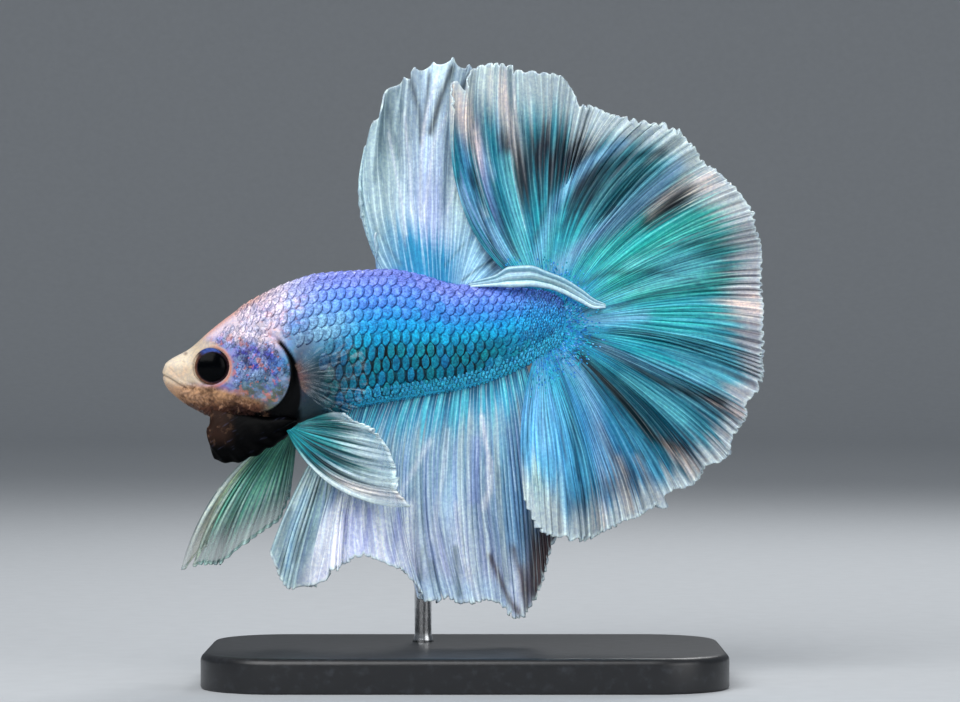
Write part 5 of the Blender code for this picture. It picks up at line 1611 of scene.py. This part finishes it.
def small_fin(name, slot, node, rays, material, paint, *, size, ridges, depth, seed, waves, foot_y=0,
              below=False, point=0, lobe=0, thick=1, lead=0, fine=1, calm=0.8, notch=None,
              roll=None, clear=None):
    """A fin through key rays, ridged and folded along them, with a scalloped rim.

    Size is its points across and along the rays, below tells a fin that hangs, and fine is how many
    painted rays there are for each ridge. In mm, depth is that of the ridges, point is how far the rim
    stands out at each, lobe that of wider waves, and lead how much thicker the first ray is. Notch (key,
    half width, depth) cuts the rim, roll (key, half width, depth, shift) folds the fin over itself, and
    clear gives how clear the membrane is from the place along the ray and the distance to the rim."""
    across, along = size
    u, v = np.linspace(0, 1, across), fin_rows(along)
    key = u * (len(rays) - 1)
    foot, tip, tip_y, bow = key_columns(rays, key)
    length = np.linalg.norm(tip - foot, axis=1)
    phase = TURN * (ridges * u + 0.5 * (streaks(u, ridges // 2, seed) - 0.5))
    height = 0.4 + 1.2 * streaks(u, ridges, seed + 1)
    cut = point * scallops(phase) * height + 0.5 * (streaks(u, ridges // 2, seed + 2) - 0.5)
    cut = cut + lobe * (streaks(u, ridges // 4, seed + 6) - 0.5)
    if notch:
        cut = cut - notch[2] * bell(key, notch[0], notch[1])
    tip = foot + (tip - foot) * (1 + cut / length)[:, None]
    vs = np.broadcast_to(v, (across, along))
    foot_y = np.broadcast_to(np.asarray(foot_y, float), (across,))
    grid = ray_grid(foot, tip, foot_y, tip_y, -bow if below else bow, vs)
    fold = folds(u, vs, waves, seed + 3)
    grid = pleated(grid, depth * (height * np.cos(phase))[:, None] * ramp(vs, 0.02, 0.5) + fold)
    sway = [(max(int(share * ridges), 3), *rest) for share, *rest in FIN_SWAY]
    grid = swayed(grid, u, vs, sway, seed + 5)
    if roll:
        grid = rolled(grid, key, vs, *roll)
    d = (1 - vs) * length[:, None]
    thickness = size_mm("membrane") * thick * (0.9 + 1.4 * ramp(vs, 0.3, 0) + 0.5 * ramp(d, 0.5, 0.1))
    thickness = thickness + lead * ramp(key[:, None], 0.22, 0.02) * ramp(vs, 1.02, 0.9)
    colour = paint(u, key, vs, grid, d, fold)
    numbers = np.broadcast_to(phase[:, None] * fine / TURN, vs.shape)
    rays_map = np.stack([numbers, vs * length[:, None]], axis=-1)
    quiet = ramp(d, 5, 1)
    if roll:
        quiet = np.maximum(quiet, near_layer(key[:, None], vs))
    layers = {"clear": clear(vs, d)} if clear else {}
    piece = sheet_piece(name, grid, thickness, material, calm=calm * quiet, **layers, paint=colour,
                        Rays=rays_map)
    finish_piece(piece, slot, node)


class BETTA_OT_dorsal_fin(bpy.types.Operator):
    """Dorsal fin and its last rays, laid back over the tail root"""

    bl_idname = "betta.dorsal_fin"
    bl_label = "Dorsal fin"

    def execute(self, context):
        material = membrane_material("varnished_dorsal_membrane", 0.36, gap=0.28, ray_light=0.4)
        small_fin("dorsal_fin_skin", "fin_dorsal", "dorsal_fin", DORSAL_RAYS, material, dorsal_paint,
                  size=(420, 58), ridges=14, depth=0.07, seed=61, waves=DORSAL_WAVES, point=0.5, fine=2,
                  calm=0.5)
        grid = lock_grid(*LOCK_GRID)
        u, v = spread(*[np.linspace(0, 1, count) for count in LOCK_GRID])
        stripe = ramp(streaks(v.ravel(), 9, 33).reshape(v.shape), 0.35, 0.7)
        colour = layered(
            "#86B4C8", ("#CBE6F2", stripe),
            # A painted shadow, grey-olive, in the middle of the leaf's rear half
            ("#5F7674", 0.6 * bell(v, 0.45, 0.14) * bell(u, 0.62, 0.2)),
            ("#5E9FA6", 0.6 * bell(v, 0.3, 0.12) * bell(u, 0.45, 0.2)),
            ("fin_white", 0.35 * ramp(np.minimum(v, 1 - v), 0.06, 0.02)))
        thick = size_mm("membrane") * (1.0 + 0.6 * np.sin(math.pi * np.clip(u, 0, 1)))
        piece = sheet_piece("dorsal_last_rays", grid, thick, material, paint=colour,
                            Rays=np.stack([v * 2.4, u * 1.5], axis=-1))
        finish_piece(piece, "fin_dorsal", "dorsal_fin_last_rays")
        return {"FINISHED"}


class BETTA_OT_anal_fin(bpy.types.Operator):
    """Anal fin: a long skirt of fine rays with a scalloped rim"""

    bl_idname = "betta.anal_fin"
    bl_label = "Anal fin"

    def execute(self, context):
        material = membrane_material("varnished_anal_membrane", 0.36, gap=0.42, ray_light=0.5)
        size = (720, 60)
        small_fin("anal_fin_skin", "fin_anal", "anal_fin", ANAL_RAYS, material, anal_paint, size=size,
                  ridges=66, depth=0.04, seed=71, waves=ANAL_WAVES, below=True, point=-0.14, lobe=1.1,
                  foot_y=0.35 * np.linspace(0, 1, size[0]) ** 3, roll=ANAL_ROLL)
        return {"FINISHED"}


class BETTA_OT_paired_fins(bpy.types.Operator):
    """Pelvic fins with their white leading rays, and the clear pectoral fins"""

    bl_idname = "betta.paired_fins"
    bl_label = "Pelvic and pectoral fins"

    def execute(self, context):
        material = membrane_material("varnished_pelvic_membrane", 0.36, gap=0.65, ray_light=0.06,
                                     clear=True)

        def rim_clear(v, d):
            """Clear towards the rim, but not at its very edge."""
            return 0.75 * ramp(v, 0.55, 0.95) * ramp(d, 0.25, 0.5)

        for side, rays, y, count, seed, lead, notch in (
                ("left", LEFT_PELVIC_RAYS, -2.3, 170, 81, 0.5, None),
                ("right", RIGHT_PELVIC_RAYS, 2.3, 190, 91, 0.3, RIGHT_PELVIC_NOTCH)):
            paint = functools.partial(pelvic_paint, near=side == "left")
            small_fin(f"pelvic_fin_{side}_skin", "fin_pelvic", f"pelvic_fin_{side}", rays, material, paint,
                      size=(count, 52), ridges=20, depth=0.06, seed=seed, waves=PELVIC_WAVES, foot_y=y,
                      below=True, point=-0.1, lead=lead, notch=notch, clear=rim_clear)
        resin = membrane_material("clear_fin_resin", 0.3, gap=0.2, ray_light=0.5, clear=True)

        def faint(u, key, v, grid, d, fold):
            """Pinkish brown at the foot, then a pale blue grey."""
            return mix("#B98A78", "#C6D6E4", ramp(v, 0.05, 0.3))

        def all_clear(v, d):
            """Clear all over, and a little less so at the foot."""
            return 0.93 + 0.07 * ramp(v, 0, 0.35)

        for name, side in (("left", -1), ("right", 1)):
            rays = tuple((fx, fz, tx, tz, side * ty, bow) for fx, fz, tx, tz, ty, bow in PECTORAL_RAYS)
            small_fin(f"pectoral_fin_{name}_skin", "fin_pectoral", f"pectoral_fin_{name}", rays, resin,
                      faint, size=(96, 36), ridges=12, depth=0.08, seed=111, waves=PECTORAL_WAVES,
                      foot_y=side * 4.15, thick=0.6, clear=all_clear)
        return {"FINISHED"}


# ---------------------------------------------------------------- stand and stage
def rounded_block(size, corner, bevel):
    """Rings of a block with round corners from its underside up: the outline is a rounded rectangle,
    drawn in along a quarter circle at the top edge and a small one at the bottom."""
    foot, edge, turn = (np.linspace(0, math.pi / 2, count) for count in (5, 9, 17))
    rows = [(9, 0), *zip(FOOT_BEVEL - FOOT_BEVEL * np.sin(foot), FOOT_BEVEL - FOOT_BEVEL * np.cos(foot)),
            *zip(bevel - bevel * np.cos(edge), size[2] - bevel + bevel * np.sin(edge)),
            *[(inset, size[2]) for inset in (bevel + 0.4, 6, 12)]]
    rings = []
    for inset, height in rows:
        radius = max(corner - inset, 0.5)
        half_x, half_y = size[0] / 2 - inset - radius, size[1] / 2 - inset - radius
        corners = []
        for quarter, (sx, sy) in enumerate(((1, 1), (-1, 1), (-1, -1), (1, -1))):
            a = turn + quarter * math.pi / 2
            corners.append(np.stack([sx * half_x + radius * np.cos(a), sy * half_y + radius * np.sin(a),
                                     height + 0 * a], axis=1))
        rings.append(np.concatenate(corners))
    return np.array(rings)


def acrylic_material():
    """Black acrylic, cut, bevelled and satin-sanded: deep black with a soft sheen, broken by faint
    sanding marks about 0.3 mm apart and a little dust."""
    material, tree, shader = new_material("satin_black_acrylic")
    place = add(tree, "TexCoord", "Object")
    brushed = add(tree, "VectorMath", **TIMES, in_0=place, in_1=(400, 4000, 4000))
    grain = add(tree, "TexNoise", Vector=brushed, Scale=1, Detail=3)
    dust = add(tree, "TexNoise", Vector=place, Scale=900, Detail=4)
    tone = add(tree, "MapRange", Value=dust, From_Min=0.5, From_Max=0.85, **SMOOTH)
    colour = add(tree, "Mix", 2, **LAYER, in_0=tone, in_6="#1B1C1F", in_7="#303338")
    rough = add(tree, "MapRange", Value=grain, To_Min=0.28, To_Max=0.42)
    bump = add(tree, "Bump", Strength=0.08, Distance=0.02 * MM, Height=grain)
    fitted(tree, shader, Base_Color=colour, Roughness=rough, Normal=bump)
    return material


def steel_material():
    """Stainless rod, drawn and polished: bright metal with fine drawing lines along it."""
    material, tree, shader = new_material("drawn_stainless_steel")
    place = add(tree, "TexCoord", "Object")
    lines = add(tree, "VectorMath", **TIMES, in_0=place, in_1=(9000, 9000, 300))
    grain = add(tree, "TexNoise", Vector=lines, Scale=1, Detail=2)
    tone = add(tree, "MapRange", Value=grain, From_Min=0.3, From_Max=0.7, **SMOOTH)
    colour = add(tree, "Mix", 2, **LAYER, in_0=tone, in_6="#A9ABAE", in_7="#D2D4D6")
    rough = add(tree, "MapRange", Value=grain, To_Min=0.18, To_Max=0.34)
    fitted(tree, shader, Base_Color=colour, Roughness=rough, Metallic=1)
    return material


def paper_material():
    """Matt backdrop paper, pale grey: a flat tone with a faint fibre."""
    material, tree, shader = new_material("matt_backdrop_paper")
    grain = add(tree, "TexNoise", Vector=add(tree, "TexCoord", "Object"), Scale=300, Detail=4)
    colour = add(tree, "Mix", 2, **LAYER, in_0=grain, in_6="#B9BDC1", in_7="#C3C7CB")
    fitted(tree, shader, Base_Color=colour, Roughness=0.85)
    return material


class BETTA_OT_stand(bpy.types.Operator):
    """Display stand: a black base with an eased edge and a leaning steel rod behind the fins"""

    bl_idname = "betta.stand"
    bl_label = "Stand"

    def execute(self, context):
        points, faces = loft_mesh(rounded_block(BASE_SIZE, BASE_CORNER, BASE_BEVEL), flip=True)
        piece = make_piece("stand_base_block", points, faces, acrylic_material())
        piece.data.set_sharp_from_angle(angle=math.radians(50))
        finish_piece(piece, "stand_base", "stand_base")
        low, top = np.array([*ROD_FOOT, BASE_SIZE[2] - 0.2]), np.array(ROD_TOP)
        t, a = spread(np.linspace(0, 1, ROD_GRID[0]), full_turn(ROD_GRID[1]))
        radius = ROD_RADIUS * (1 + 0.35 * ramp(t, 0.03, 0) - 0.25 * ramp(t, 0.93, 1))
        grid = low + (top - low) * t[..., None]
        grid = grid + np.stack([radius * np.cos(a), radius * np.sin(a), 0 * a], axis=-1)
        points, faces = loft_mesh(grid, flip=True)
        piece = make_piece("stand_rod_steel", points, faces, steel_material())
        finish_piece(piece, "stand_rod", "stand_rod")
        return {"FINISHED"}


def area_light(name, place, size, power):
    """A square soft light, in metres, aimed at the model."""
    data = bpy.data.lights.new(name, "AREA")
    data.shape, data.size, data.energy = "SQUARE", size, power
    lamp = bpy.data.objects.new(name, data)
    lamp.location = place
    aim = Vector((0, 0, VIEW_CENTRE[2] * MM)) - lamp.location
    lamp.rotation_euler = aim.to_track_quat("-Z", "Y").to_euler()
    bpy.context.scene.collection.objects.link(lamp)


class BETTA_OT_stage(bpy.types.Operator):
    """Plain pale floor that sweeps up behind the model, soft lights and the camera"""

    bl_idname = "betta.stage"
    bl_label = "Stage"

    def execute(self, context):
        scene = context.scene
        quarter = np.linspace(0, math.pi / 2, 13)[1:]
        wall = FLOOR_REACH + FLOOR_SWEEP
        out = np.concatenate([np.geomspace(0.01, FLOOR_REACH, 16),
                              FLOOR_REACH + FLOOR_SWEEP * np.sin(quarter), [wall, wall]])
        up = np.concatenate([np.zeros(16), FLOOR_SWEEP - FLOOR_SWEEP * np.cos(quarter), WALL_HEIGHTS])
        ring, turn = spread(np.arange(len(out)), full_turn(FLOOR_RING))
        grid = np.stack([out[ring] * np.cos(turn), out[ring] * np.sin(turn), up[ring]], axis=-1)
        faces = grid_faces(len(out), FLOOR_RING, wrap=True)
        floor = make_piece("floor", grid.reshape(-1, 3), [faces], paper_material())
        for light in LIGHTS:
            area_light(*light)
        world = bpy.data.worlds.new("studio")
        world.use_nodes = True
        sky = world.node_tree.nodes["Background"]
        fitted(world.node_tree, sky, Color="#C9CED4", Strength=SKY_LIGHT)
        scene.world = world
        scene.view_settings.view_transform = "Standard"
        lens = bpy.data.cameras.new("camera")
        lens.lens, lens.sensor_width = LENS, SENSOR_WIDTH
        lens.clip_start, lens.clip_end = 0.01, 10.0
        camera = bpy.data.objects.new("camera", lens)
        distance = FRAME_WIDTH * LENS / SENSOR_WIDTH
        camera.location = Vector(VIEW_CENTRE) * MM + Vector((0, -distance * MM, 0))
        camera.rotation_euler = (math.pi / 2, 0, 0)
        scene.collection.objects.link(camera)
        scene.camera = camera
        return {"FINISHED"}


STEPS = (
    BETTA_OT_skin, BETTA_OT_scales, BETTA_OT_eyes, BETTA_OT_gill_membranes, BETTA_OT_tail_fin,
    BETTA_OT_dorsal_fin, BETTA_OT_anal_fin, BETTA_OT_paired_fins, BETTA_OT_stand, BETTA_OT_stage,
)


class BETTA_PT_panel(bpy.types.Panel):
    """The betta's sizes, colours and pieces"""

    bl_label = "Halfmoon Betta"
    bl_idname = "BETTA_PT_panel"
    bl_space_type = "VIEW_3D"
    bl_region_type = "UI"
    bl_category = "Betta"

    def draw(self, context):
        layout = self.layout
        for group in (context.scene.betta_sizes, context.scene.betta_colours):
            box = layout.box()
            for key in type(group).__annotations__:
                box.prop(group, key)
        for step in STEPS:
            layout.operator(step.bl_idname)


CLASSES = (BettaSizes, BettaColours, *STEPS, BETTA_PT_panel)


def register():
    """Adds the classes, and the user's sizes and colours to each scene."""
    for kind in CLASSES:
        bpy.utils.register_class(kind)
    bpy.types.Scene.betta_sizes = bpy.props.PointerProperty(type=BettaSizes)
    bpy.types.Scene.betta_colours = bpy.props.PointerProperty(type=BettaColours)


def unregister():
    """Takes them out again, in the opposite order."""
    del bpy.types.Scene.betta_colours
    del bpy.types.Scene.betta_sizes
    for kind in reversed(CLASSES):
        bpy.utils.unregister_class(kind)


def main():
    """Builds the model step by step."""
    register()
    for step in STEPS:
        name = step.bl_idname.split(".")[1]
        getattr(bpy.ops.betta, name)()


if __name__ == "__main__":
    main()
